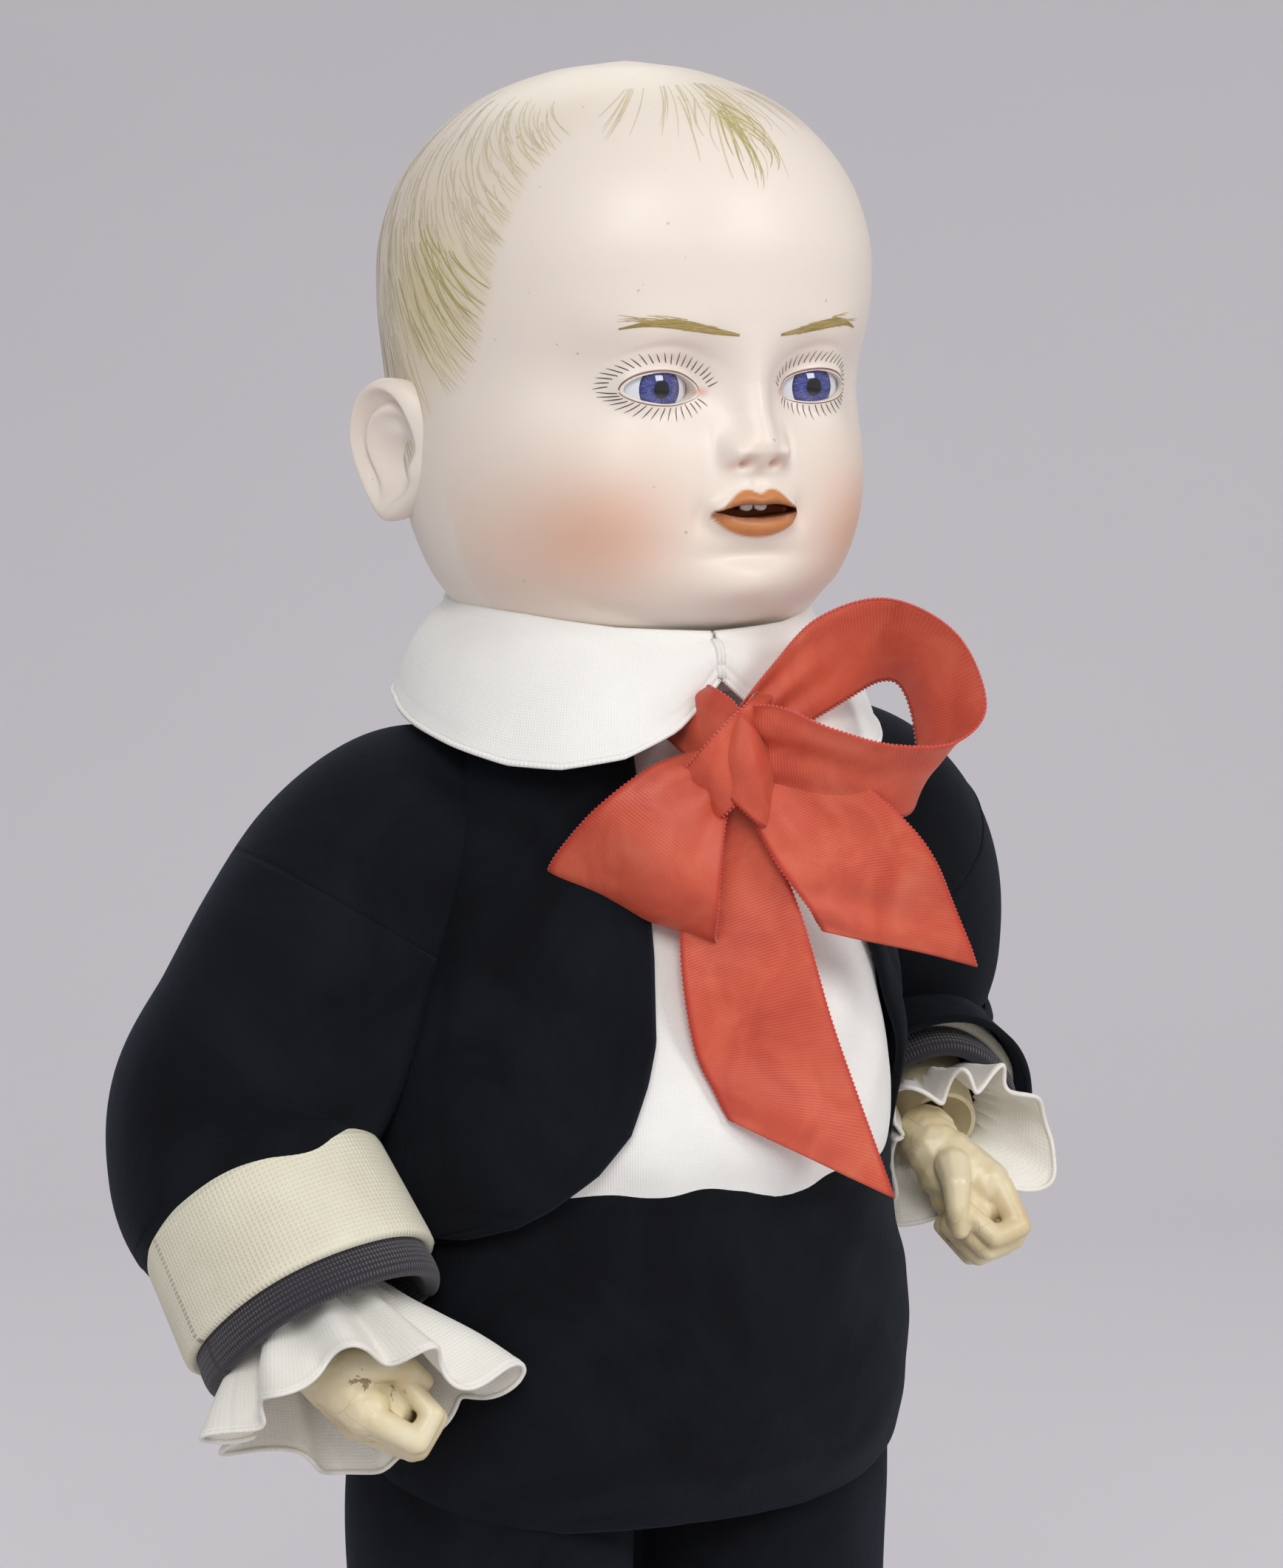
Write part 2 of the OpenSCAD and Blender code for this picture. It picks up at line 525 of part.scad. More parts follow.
// Everything that the sleeves lie against
module dressed_body(grow) {
    stacked([for (r = concat([[252, 58.9, 55.5, 49.5]], jacket_rows, [[360, 34, 32, 33]]))
        egg_ring(r, grow, torso_sides)]);
    stacked([for (r = seat_rows) egg_ring(r, grow, torso_sides)]);
}
module sleeve(side) color(velvet) as_mesh() difference() {
    difference() {
        soft_run(sleeve_rows(side), 0);
        dressed_body(cloth_gap + 0.4);
    }
    difference() {
        soft_run(sleeve_rows(side), -velvet_t);
        dressed_body(cloth_gap + 0.4 + velvet_t);
    }
    aimed(elbow(side), fore_aim(side)) // open at the hand, where the lining starts
        translate([0, 0, -cuff_top - cuff_w - 40]) cylinder(r = 40, h = cuff_w + 40 + 0.01, $fn = 32);
    translate([side * 34, 2, shoulder_z]) rotate([0, side * 90, 0]) cylinder(r = 20.3, h = 31, $fn = 32);
}

module cuff_tube(side, top, bottom, r_out) aimed(elbow(side), fore_aim(side))
    translate([0, 0, -bottom]) cylinder(r = r_out, h = bottom - top, $fn = 40);
// A cuff is round where it is free and flat where it lies against the body
module cuff_shell(side, top, bottom, r_out, t, off) as_mesh() difference() {
    difference() {
        cuff_tube(side, top, bottom, r_out);
        dressed_body(off);
    }
    difference() {
        cuff_tube(side, top - 1, bottom + 1, r_out - t);
        dressed_body(off + t);
    }
}
module cuff_band(side) color(linen) cuff_shell(side, cuff_top + glue_gap, cuff_top + cuff_w, cuff_in_r(side) + cuff_t,
    cuff_t, cloth_gap + 0.3);

lining_len = 5;
module sleeve_lining(side) color("dimgray") cuff_shell(side, cuff_top + cuff_w - 6, cuff_top + cuff_w + lining_len,
    cuff_in_r(side) - cloth_gap, 1.4, cloth_gap + cuff_t + cloth_gap + 0.5);

frill_waves = 9;
frill_t = 1;
frill_rows = [[-6, 10.3, 0], [-1, 10.6, 0.2], [4, 15, 0.6], [11, 22, 2], [18, 28.5, 3.2]]; // along, radius, wave
function squeeze(side) = side == RIGHT ? 0.25 : 0.5; // how far the body flattens the frill on its own side
module frill(side) color(linen) as_mesh() difference() {
    n = frill_waves * 4;
    rings = [for (k = [len(frill_rows) - 1 : -1 : 0]) frill_rows[k]];
    aimed(wrist(side), fore_aim(side))
        sheet([for (r = rings) frill_ring(side, r, frill_t, n)], [for (r = rings) frill_ring(side, r, 0, n)], true);
    dressed_body(0.6);
}
function frill_ring(side, row, grow, n) = [for (i = [0 : n - 1]) let (
    a = 360 * i / n, w = sin(a * frill_waves), press = 1 - squeeze(side) * max(0, -side * cos(a)),
    r = 10.3 + (row[1] + row[2] * w - 10.3) * press + grow) [r * cos(a), r * sin(a), -row[0] + row[2] * 0.8 * w]];

// ---- Legs ----
knee_end_r = 8.5;
function knee_drop() = sqrt(pow(knee_r, 2) - pow(knee_end_r - 1, 2));
thigh_len = hip_z - knee_z;
module thigh(side) color(wood) translate(hip(side)) difference() {
    union() {
        sphere(hip_r, $fn = 64);
        rotate_extrude($fn = 64) polygon([[0, -8], [17.5, -11], [17.5, -25], [21.5, -42], [22, -57],
            [17.5, -thigh_len + 26], [11.5, -thigh_len + 15], [knee_end_r, -thigh_len + knee_drop()],
            [0, -thigh_len + knee_drop()]]);
    }
    translate([0, 0, -thigh_len]) sphere(knee_r + joint_gap, $fn = 64);
    translate([0, 0, -thigh_len]) cylinder(r = channel_r, h = thigh_len + 30, $fn = 32);
}
module knee_ball(side) color(wood) translate(knee(side)) difference() {
    sphere(knee_r, $fn = 64);
    cylinder(r = channel_r, h = 40, center = true, $fn = 32);
}
shin_rows = [[knee_end_r, 0], [12, 18], [16.5, 33], [16, 46], [12.5, 64], [11, knee_z - 36], [11, knee_z - 22]];
sole_t = 4;
foot_l = shoe_len - 10;
heel_y = 13;
module foot(grow) hull() {
    translate([0, heel_y - 11, sole_t + 12]) sphere(10.5 + grow, $fn = 16);
    translate([0, heel_y + 11 - foot_l, sole_t + 9.4]) sphere(9 + grow, $fn = 16);
    translate([0, heel_y - foot_l / 2, sole_t + 12.5]) sphere(10.8 + grow, $fn = 16);
}
module lower_leg(side) color(composition) difference() {
    union() {
        translate(knee(side)) rotate_extrude($fn = 64) polygon(concat([[0, -knee_drop()], [knee_end_r, -knee_drop()]],
            [for (i = [1 : len(shin_rows) - 1]) [shin_rows[i][0], -shin_rows[i][1]]], [[0, -knee_z + 22]]));
        translate([hip(side)[0], 2, 0]) foot(0);
    }
    translate(knee(side)) sphere(knee_r + glue_gap, $fn = 64);
    translate(knee(side) - [0, 0, 60]) cylinder(r = channel_r, h = 60, $fn = 32);
    translate(knee(side) - [0, 0, 72]) cylinder(r = wire_r + glue_gap, h = 20, $fn = 24);
}
module leg_hook(side) color("silver") translate(knee(side)) translate([0, 0, -71.8])
    cylinder(r = wire_r, h = 71.8 - 41.6, $fn = 24);

stocking_rows = [[142, 21.4], [128, 16.4], [112, 14.6], [94, 14.2], [79, 18], [65, 17.6], [46, 14], [34, 12.6]];
module stocking(side) color("black") translate([hip(side)[0], 2, 0]) {
    rows = [for (i = [len(stocking_rows) - 1 : -1 : 0]) stocking_rows[i]];
    shift = knee_z - 112;
    sheet([for (r = rows) egg_ring([r[0] + (r[0] > 40 ? shift : 0), r[1], r[1], r[1]], 0, 24)],
          [for (r = rows) egg_ring([r[0] + (r[0] > 40 ? shift : 0), r[1], r[1], r[1]], -linen_t, 24)], true);
}

module shoe_body() hull() {
    translate([0, heel_y - 11, sole_t]) cylinder(r = 12.4, h = 17, $fn = 24);
    translate([0, heel_y - 22, sole_t]) cylinder(r1 = 13, r2 = 11.8, h = 13.5, $fn = 24);
    translate([0, heel_y + 11 - foot_l, sole_t]) cylinder(r1 = 12.6, r2 = 9.6, h = 15, $fn = 24);
    translate([0, heel_y - 2 - foot_l / 2, sole_t]) cylinder(r1 = 13.4, r2 = 11.4, h = 14, $fn = 24);
}
module shoe_upper(side) color("black") translate([hip(side)[0], 2, 0]) as_mesh() difference() {
    shoe_body();
    foot(0.5);
    translate([0, heel_y - 11, sole_t + 8]) cylinder(r = 11.5, h = 30, $fn = 24);
    hull() for (y = [heel_y - 12, heel_y - 34]) translate([0, y, sole_t + 12]) cylinder(r = 10.4, h = 30, $fn = 20);
    translate([-30, -80, -1]) cube([60, 120, 1 + sole_t + glue_gap]);
}
module shoe_sole(side) color("saddlebrown") translate([hip(side)[0], 2, 0]) linear_extrude(sole_t - glue_gap) hull() {
    translate([0, heel_y - shoe_w / 2 + 3]) circle(shoe_w / 2 - 1.5, $fn = 32);
    translate([0, heel_y + 3 - shoe_len + shoe_w / 2]) circle(shoe_w / 2 - 0.5, $fn = 32);
}
strap_w = 6;
strap_in = 13.6;
strap_centre = sole_t + 10.4;
module shoe_strap(side) color("black") translate([hip(side)[0], heel_y - 27, 0]) {
    difference() {
        translate([0, strap_w / 2, strap_centre]) rotate([90, 0, 0]) cylinder(r = strap_in + 1.4, h = strap_w, $fn = 48);
        translate([0, strap_w, strap_centre]) rotate([90, 0, 0]) cylinder(r = strap_in, h = 2 * strap_w, $fn = 48);
        translate([-40, -40, -40]) cube([80, 80, 40 + strap_centre + 1]);
    }
    translate([side * (strap_in + 1.4 + glue_gap), 0, strap_centre + 4]) rotate([0, side * 90, 0])
        cylinder(r = 2.6, h = 1.6, $fn = 24);
}

// ---- One line for each node ----
module at_axis() translate([axis_x, axis_y, 0]) children();

at_axis() head_shell();
at_axis() upper_teeth();
at_axis() mouth_lining();
at_axis() eye_plaster();
at_axis() cork_stop();
at_axis() eye(RIGHT);  // eye_right
at_axis() eye(LEFT);  // eye_left
at_axis() eye_bar();
at_axis() eye_weight();
at_axis() neck_button();
at_axis() neck_hook();
at_axis() torso_half(true);  // torso_front
at_axis() torso_half(false);  // torso_back
at_axis() arm_elastic();
at_axis() leg_elastic();
at_axis() shirt_body();
at_axis() shirt_collar();
at_axis() jacket_body();
at_axis() bow_knot();
at_axis() bow_loops();
at_axis() bow_tails();
at_axis() breeches();
at_axis() waistband();
at_axis() upper_arm(RIGHT);  // right_upper_arm
at_axis() upper_arm(LEFT);  // left_upper_arm
at_axis() elbow_ball(RIGHT);  // right_elbow_ball
at_axis() elbow_ball(LEFT);  // left_elbow_ball
at_axis() forearm(RIGHT);  // right_forearm
at_axis() forearm(LEFT);  // left_forearm
at_axis() hand(RIGHT);  // right_hand
at_axis() hand(LEFT);  // left_hand
at_axis() hand_hook(RIGHT);  // right_hand_hook
at_axis() hand_hook(LEFT);  // left_hand_hook
at_axis() sleeve(RIGHT);  // right_sleeve
at_axis() sleeve(LEFT);  // left_sleeve
at_axis() cuff_band(RIGHT);  // right_cuff_band
at_axis() cuff_band(LEFT);  // left_cuff_band
at_axis() sleeve_lining(RIGHT);  // right_sleeve_lining
at_axis() sleeve_lining(LEFT);  // left_sleeve_lining
at_axis() frill(RIGHT);  // right_frill
at_axis() frill(LEFT);  // left_frill
at_axis() thigh(RIGHT);  // right_thigh
at_axis() thigh(LEFT);  // left_thigh
at_axis() knee_ball(RIGHT);  // right_knee_ball
at_axis() knee_ball(LEFT);  // left_knee_ball
at_axis() lower_leg(RIGHT);  // right_lower_leg
at_axis() lower_leg(LEFT);  // left_lower_leg
at_axis() leg_hook(RIGHT);  // right_leg_hook
at_axis() leg_hook(LEFT);  // left_leg_hook
at_axis() stocking(RIGHT);  // right_stocking
at_axis() stocking(LEFT);  // left_stocking
at_axis() shoe_upper(RIGHT);  // right_shoe_upper
at_axis() shoe_upper(LEFT);  // left_shoe_upper
at_axis() shoe_sole(RIGHT);  // right_shoe_sole
at_axis() shoe_sole(LEFT);  // left_shoe_sole
at_axis() shoe_strap(RIGHT);  // right_shoe_strap
at_axis() shoe_strap(LEFT);  // left_shoe_strap
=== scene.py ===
# Looks of the porcelain-head boy doll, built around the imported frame. Metres, +Z up, the doll faces -Y.
import json
import math
import random

import bmesh
import bpy
import numpy as np
from mathutils import Matrix, Vector, noise
from mathutils.bvhtree import BVHTree


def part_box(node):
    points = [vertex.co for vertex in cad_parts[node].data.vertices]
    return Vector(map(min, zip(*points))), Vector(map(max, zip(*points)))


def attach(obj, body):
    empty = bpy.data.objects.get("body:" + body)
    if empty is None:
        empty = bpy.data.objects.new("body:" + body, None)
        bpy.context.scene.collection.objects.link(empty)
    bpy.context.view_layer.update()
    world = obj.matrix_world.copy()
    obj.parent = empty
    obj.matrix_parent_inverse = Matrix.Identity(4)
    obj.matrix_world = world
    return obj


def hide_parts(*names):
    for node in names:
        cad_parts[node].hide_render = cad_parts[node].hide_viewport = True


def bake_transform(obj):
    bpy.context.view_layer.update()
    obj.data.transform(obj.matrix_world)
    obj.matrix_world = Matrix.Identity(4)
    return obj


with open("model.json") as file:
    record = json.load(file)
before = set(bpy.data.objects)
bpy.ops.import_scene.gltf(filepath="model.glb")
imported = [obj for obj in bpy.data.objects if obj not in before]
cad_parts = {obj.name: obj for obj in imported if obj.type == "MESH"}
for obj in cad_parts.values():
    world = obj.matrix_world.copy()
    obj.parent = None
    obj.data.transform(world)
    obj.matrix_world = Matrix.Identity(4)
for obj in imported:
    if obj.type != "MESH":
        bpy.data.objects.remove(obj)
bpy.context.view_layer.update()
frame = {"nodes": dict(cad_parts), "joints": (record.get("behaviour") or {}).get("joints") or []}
JOINTS = {j["name"]: j for j in frame["joints"]}
rnd = random.Random(7)
MM = 0.001


def joint(name):
    return np.array(JOINTS[name]["pos_m"]) / MM


def unit(v):
    v = np.asarray(v, float)
    return v / np.linalg.norm(v)


# ---- Places, in millimetres, all from the frame ----
NECK = joint("head_turn")
AX, AY, NZ = NECK
TURN = math.atan2(JOINTS["head_nod"]["axis"][1], JOINTS["head_nod"]["axis"][0])
EL = {"right": joint("right_elbow_bend"), "left": joint("left_elbow_bend")}
WR = {"right": joint("right_wrist_turn"), "left": joint("left_wrist_turn")}
HP = {"right": joint("right_hip_swing"), "left": joint("left_hip_swing")}
KN = {"right": joint("right_knee_bend"), "left": joint("left_knee_bend")}
SIDE = {"right": -1, "left": 1}
AXIS = np.array([AX, AY, 0.0])


# ---- Node helpers for materials ----
class Mat:
    """A material with a few short calls for wiring its nodes."""

    def __init__(self, name, color=(0.8, 0.8, 0.8), rough=0.5, **sockets):
        self.m = bpy.data.materials.new(name)
        self.m.use_nodes = True
        self.t = self.m.node_tree
        self.b = self.t.nodes["Principled BSDF"]
        self.b.inputs["Base Color"].default_value = (*color, 1)
        self.b.inputs["Roughness"].default_value = rough
        for k, v in sockets.items():
            self.b.inputs[k.replace("_", " ")].default_value = v
        self._co = None

    def n(self, kind, **props):
        node = self.t.nodes.new(kind)
        for k, v in props.items():
            setattr(node, k, v)
        return node

    def link(self, a, b):
        self.t.links.new(a, b)
        return b

    def co(self, scale=(1, 1, 1), rot=(0, 0, 0)):
        if self._co is None:
            self._co = self.n("ShaderNodeTexCoord").outputs["Object"]
        mp = self.n("ShaderNodeMapping")
        mp.inputs["Scale"].default_value = scale
        mp.inputs["Rotation"].default_value = rot
        self.link(self._co, mp.inputs["Vector"])
        return mp.outputs["Vector"]

    def noise(self, scale, detail=3, rough=0.5, vec=None, dist=0.0):
        n = self.n("ShaderNodeTexNoise")
        n.inputs["Scale"].default_value = scale
        n.inputs["Detail"].default_value = detail
        n.inputs["Roughness"].default_value = rough
        n.inputs["Distortion"].default_value = dist
        self.link(vec or self.co(), n.inputs["Vector"])
        return n.outputs["Fac"]

    def wave(self, scale, vec, axis="X", dist=0.0, profile="SIN"):
        w = self.n("ShaderNodeTexWave", wave_profile=profile, bands_direction=axis)
        w.inputs["Scale"].default_value = scale
        w.inputs["Distortion"].default_value = dist
        w.inputs["Detail Scale"].default_value = 2
        self.link(vec, w.inputs["Vector"])
        return w.outputs["Fac"]

    def attr(self, name):
        return self.n("ShaderNodeAttribute", attribute_name=name).outputs["Fac"]

    def math(self, op, a, b=None, clamp=False):
        m = self.n("ShaderNodeMath", operation=op, use_clamp=clamp)
        for i, v in enumerate((a, b)):
            if v is None:
                continue
            if isinstance(v, (int, float)):
                m.inputs[i].default_value = v
            else:
                self.link(v, m.inputs[i])
        return m.outputs[0]

    def ramp(self, fac, stops):
        r = self.n("ShaderNodeValToRGB")
        e = r.color_ramp.elements
        while len(e) < len(stops):
            e.new(0.5)
        for i, (p, c) in enumerate(stops):
            e[i].position = p
            e[i].color = (*c, 1) if len(c) == 3 else c
        self.link(fac, r.inputs["Fac"])
        return r.outputs["Color"]

    def mix(self, fac, a, b, mode="MIX"):
        m = self.n("ShaderNodeMix", data_type="RGBA", blend_type=mode)
        for s, v in ((m.inputs[0], fac), (m.inputs[6], a), (m.inputs[7], b)):
            if isinstance(v, (int, float)):
                s.default_value = v
            elif isinstance(v, tuple):
                s.default_value = (*v, 1)
            else:
                self.link(v, s)
        return m.outputs[2]

    def color(self, c):
        self.link(c, self.b.inputs["Base Color"])

    def rough(self, f, lo, hi):
        mr = self.n("ShaderNodeMapRange")
        mr.inputs["To Min"].default_value = lo
        mr.inputs["To Max"].default_value = hi
        self.link(f, mr.inputs["Value"])
        self.link(mr.outputs[0], self.b.inputs["Roughness"])

    def bump(self, height, strength, dist):
        b = self.n("ShaderNodeBump")
        b.inputs["Strength"].default_value = strength
        b.inputs["Distance"].default_value = dist
        self.link(height, b.inputs["Height"])
        last = self.b.inputs["Normal"]
        if last.is_linked:
            self.link(last.links[0].from_socket, b.inputs["Normal"])
        self.link(b.outputs["Normal"], last)


# ---- Mesh helpers ----
def mesh(name, verts, faces, mat, smooth=True, uv=None):
    """verts in row-frame millimetres."""
    me = bpy.data.meshes.new(name)
    me.from_pydata((np.asarray(verts, float) * MM).tolist(), [], faces)
    me.validate()
    ob = bpy.data.objects.new(name, me)
    bpy.context.collection.objects.link(ob)
    me.materials.append(mat.m if isinstance(mat, Mat) else mat)
    if smooth:
        me.polygons.foreach_set("use_smooth", [True] * len(me.polygons))
    if uv is not None:
        lay = me.uv_layers.new(name="UVMap")
        idx = np.zeros(len(me.loops), np.int32)
        me.loops.foreach_get("vertex_index", idx)
        lay.data.foreach_set("uv", (np.asarray(uv, float)[idx]).astype(np.float32).ravel())
    me.update()
    return ob


def grid_faces(m, n, wrap_n=False, wrap_m=False, flip=False):
    f = []
    for i in range(m if wrap_m else m - 1):
        for j in range(n if wrap_n else n - 1):
            a, b = i * n + j, i * n + (j + 1) % n
            c, d = ((i + 1) % m) * n + (j + 1) % n, ((i + 1) % m) * n + j
            f.append((a, d, c, b) if flip else (a, b, c, d))
    return f


def modifier(ob, kind, **props):
    m = ob.modifiers.new(kind.lower(), kind)
    for k, v in props.items():
        setattr(m, k, v)
    return m


def bake(ob):
    """Applies every modifier."""
    dg = bpy.context.evaluated_depsgraph_get()
    me = bpy.data.meshes.new_from_object(ob.evaluated_get(dg))
    ob.modifiers.clear()
    old = ob.data
    ob.data = me
    bpy.data.meshes.remove(old)
    return ob


def join(name, obs):
    """Several meshes as one object."""
    with bpy.context.temp_override(
        active_object=obs[0], selected_editable_objects=obs, selected_objects=obs
    ):
        bpy.ops.object.join()
    obs[0].name = name
    obs[0].data.name = name
    return obs[0]


def catmull(points, k):
    """A smooth curve through points, k steps a span."""
    p = np.asarray(points, float)
    p = np.vstack([2 * p[0] - p[1], p, 2 * p[-1] - p[-2]])
    out = []
    for i in range(1, len(p) - 2):
        for s in range(k):
            t = s / k
            out.append(0.5 * ((2 * p[i]) + (-p[i - 1] + p[i + 1]) * t
                + (2 * p[i - 1] - 5 * p[i] + 4 * p[i + 1] - p[i + 2]) * t * t
                + (-p[i - 1] + 3 * p[i] - 3 * p[i + 1] + p[i + 2]) * t ** 3))
    out.append(p[-2])
    return np.array(out)


def nz(x, y, z, s=1.0, seed=0.0):
    return noise.noise(Vector((x * s + seed, y * s + 3.1 * seed, z * s - seed)))


def bell(x, s):
    return np.exp(-(x / s) ** 2)


def sstep(a, b, x):
    t = np.clip((np.asarray(x, float) - a) / (b - a), 0, 1)
    return t * t * (3 - 2 * t)


# ---- Materials ----
def fabric_weave(m, threads, strength, dist=0.0002, vec=None):
    """Plain weave from two crossed waves, threads a metre."""
    v = vec or m.n("ShaderNodeUVMap").outputs["UV"]
    a = m.wave(threads / 6.283 * 6.283 / 2, v, "X", 0.3)
    b = m.wave(threads / 6.283 * 6.283 / 2, v, "Y", 0.3)
    w = m.math("MAXIMUM", a, b)
    slub = m.noise(90, 2, 0.6)
    m.bump(m.math("MULTIPLY", w, m.math("ADD", slub, 0.5)), strength, dist)
    return w


def linen_material(name, color, dark, threads=700, strength=0.5):
    m = Mat(name, color, 0.85, Sheen_Weight=0.15, Specular_IOR_Level=0.25)
    w = fabric_weave(m, threads, strength)
    big = m.noise(55, 3, 0.6)
    c = m.mix(m.math("MULTIPLY", w, 0.35), m.ramp(big, [(0.3, dark), (0.7, color)]), color)
    m.color(c)
    return m


def velvet_material():
    m = Mat("velvet", (0.0035, 0.0045, 0.009), 0.92, Specular_IOR_Level=0.18,
            Sheen_Weight=0.16, Sheen_Roughness=0.3, Sheen_Tint=(0.22, 0.30, 0.42, 1))
    pile = m.noise(2600, 3, 0.7)
    nap = m.noise(32, 4, 0.62, dist=0.6)
    m.color(m.mix(m.ramp(nap, [(0.42, (0, 0, 0)), (0.68, (1, 1, 1))]), (0.0022, 0.0027, 0.0045), (0.0050,
            0.0066, 0.0105)))
    m.bump(m.math("ADD", pile, m.math("MULTIPLY", nap, 3)), 0.55, 0.0006)
    return m


velvet = velvet_material()
linen = linen_material("shirt_linen", (0.85, 0.84, 0.80), (0.79, 0.775, 0.74), 1250, 0.4)
cuff_linen = linen_material("cuff_linen", (0.76, 0.73, 0.58), (0.66, 0.62, 0.47), 620, 0.8)
muslin = linen_material("frill_muslin", (0.84, 0.82, 0.76), (0.74, 0.71, 0.63), 900, 0.35)

knit = Mat("lining_knit", (0.030, 0.026, 0.036), 0.9, Sheen_Weight=0.2)
_uv = knit.n("ShaderNodeUVMap").outputs["UV"]
_k = knit.math("MULTIPLY", knit.wave(420, _uv, "X"), knit.wave(300, _uv, "Y"))
knit.bump(_k, 0.9, 0.0005)
knit.color(knit.mix(_k, (0.016, 0.014, 0.020), (0.060, 0.052, 0.066)))

stocking_mat = Mat("stocking_knit", (0.012, 0.012, 0.016), 0.85, Sheen_Weight=0.15)
_v = stocking_mat.co((1, 1, 0.02))
stocking_mat.bump(stocking_mat.noise(1100, 1, 0.4, vec=_v), 0.7, 0.0005)
stocking_mat.color(stocking_mat.mix(stocking_mat.noise(60, 3), (0.008, 0.008, 0.011), (0.022, 0.022, 0.028)))

leather = Mat("shoe_leather", (0.02, 0.018, 0.018), 0.32, Coat_Weight=0.25)
leather.bump(leather.noise(700, 4, 0.6), 0.25, 0.0003)
leather.color(leather.mix(leather.ramp(leather.noise(40, 4, 0.7), [(0.45, (0, 0, 0)), (0.75, (1, 1, 1))]),
              (0.012, 0.011, 0.011), (0.055, 0.045, 0.04)))
leather.rough(leather.noise(50, 4), 0.22, 0.5)

sole_mat = Mat("sole_leather", (0.16, 0.085, 0.04), 0.6)
sole_mat.color(sole_mat.mix(sole_mat.noise(120, 5, 0.7), (0.10, 0.05, 0.022), (0.24, 0.14, 0.07)))
sole_mat.bump(sole_mat.noise(500, 3), 0.3, 0.0003)

button_mat = Mat("button_metal", (0.55, 0.5, 0.4), 0.3, Metallic=1.0)
button_mat.rough(button_mat.noise(400, 3), 0.2, 0.45)

wood_mat = Mat("turned_wood", (0.62, 0.45, 0.25), 0.5)
_g = wood_mat.noise(60, 5, 0.65, vec=wood_mat.co((1, 1, 0.12)))
wood_mat.color(wood_mat.ramp(_g, [(0.3, (0.42, 0.27, 0.13)), (0.6, (0.66, 0.49, 0.28)), (0.8,
        (0.74, 0.58, 0.36))]))
wood_mat.bump(_g, 0.15, 0.0004)

compo = Mat("composition", (0.68, 0.58, 0.36), 0.38, Coat_Weight=0.15, Coat_Roughness=0.3)
_b = compo.ramp(compo.noise(45, 5, 0.62), [(0.32, (0.60, 0.47, 0.25)), (0.5, (0.70, 0.60, 0.38)),
        (0.7, (0.76, 0.69, 0.50))])
_chip = compo.ramp(compo.noise(95, 6, 0.7, dist=0.4), [(0.655, (0, 0, 0)), (0.675, (1, 1, 1))])
_b = compo.mix(_chip, _b, (0.30, 0.21, 0.11))
_crack = compo.n("ShaderNodeTexVoronoi", feature="DISTANCE_TO_EDGE")
_crack.inputs["Scale"].default_value = 120
compo.link(compo.co((1, 1, 1)), _crack.inputs["Vector"])
_cr = compo.ramp(_crack.outputs["Distance"], [(0.0, (1, 1, 1)), (0.018, (0, 0, 0))])
_fine = compo.mix(compo.ramp(compo.noise(60, 2), [(0.5, (0, 0, 0)), (0.62, (0.55, 0.55, 0.55))]), (0, 0, 0),
        _cr)
compo.color(compo.mix(_fine, _b, (0.42, 0.32, 0.18)))
compo.rough(compo.noise(70, 4), 0.28, 0.6)
compo.bump(compo.math("SUBTRACT", compo.noise(140, 5, 0.6), compo.math("MULTIPLY", _chip, 0.8)), 0.35, 0.0006)

wire = Mat("wire", (0.45, 0.44, 0.42), 0.4, Metallic=1.0)
wire.rough(wire.noise(300, 3), 0.3, 0.6)
lead = Mat("lead", (0.16, 0.16, 0.17), 0.6, Metallic=0.8)
lead.bump(lead.noise(300, 4), 0.4, 0.0005)
plaster = Mat("plaster", (0.82, 0.80, 0.74), 0.9)
plaster.bump(plaster.noise(300, 5, 0.7), 0.5, 0.0006)
plaster.color(plaster.mix(plaster.noise(80, 4), (0.74, 0.71, 0.64), (0.86, 0.84, 0.79)))
cork = Mat("cork", (0.45, 0.29, 0.15), 0.8)
cork.color(cork.ramp(cork.noise(500, 4, 0.7), [(0.35, (0.22, 0.12, 0.05)), (0.6, (0.52, 0.34, 0.18))]))
elastic = Mat("elastic", (0.74, 0.72, 0.66), 0.7)
elastic.bump(elastic.wave(900, elastic.co(), "DIAGONAL"), 0.5, 0.0003)
elastic.color(elastic.mix(elastic.noise(200, 2), (0.66, 0.63, 0.56), (0.80, 0.78, 0.73)))


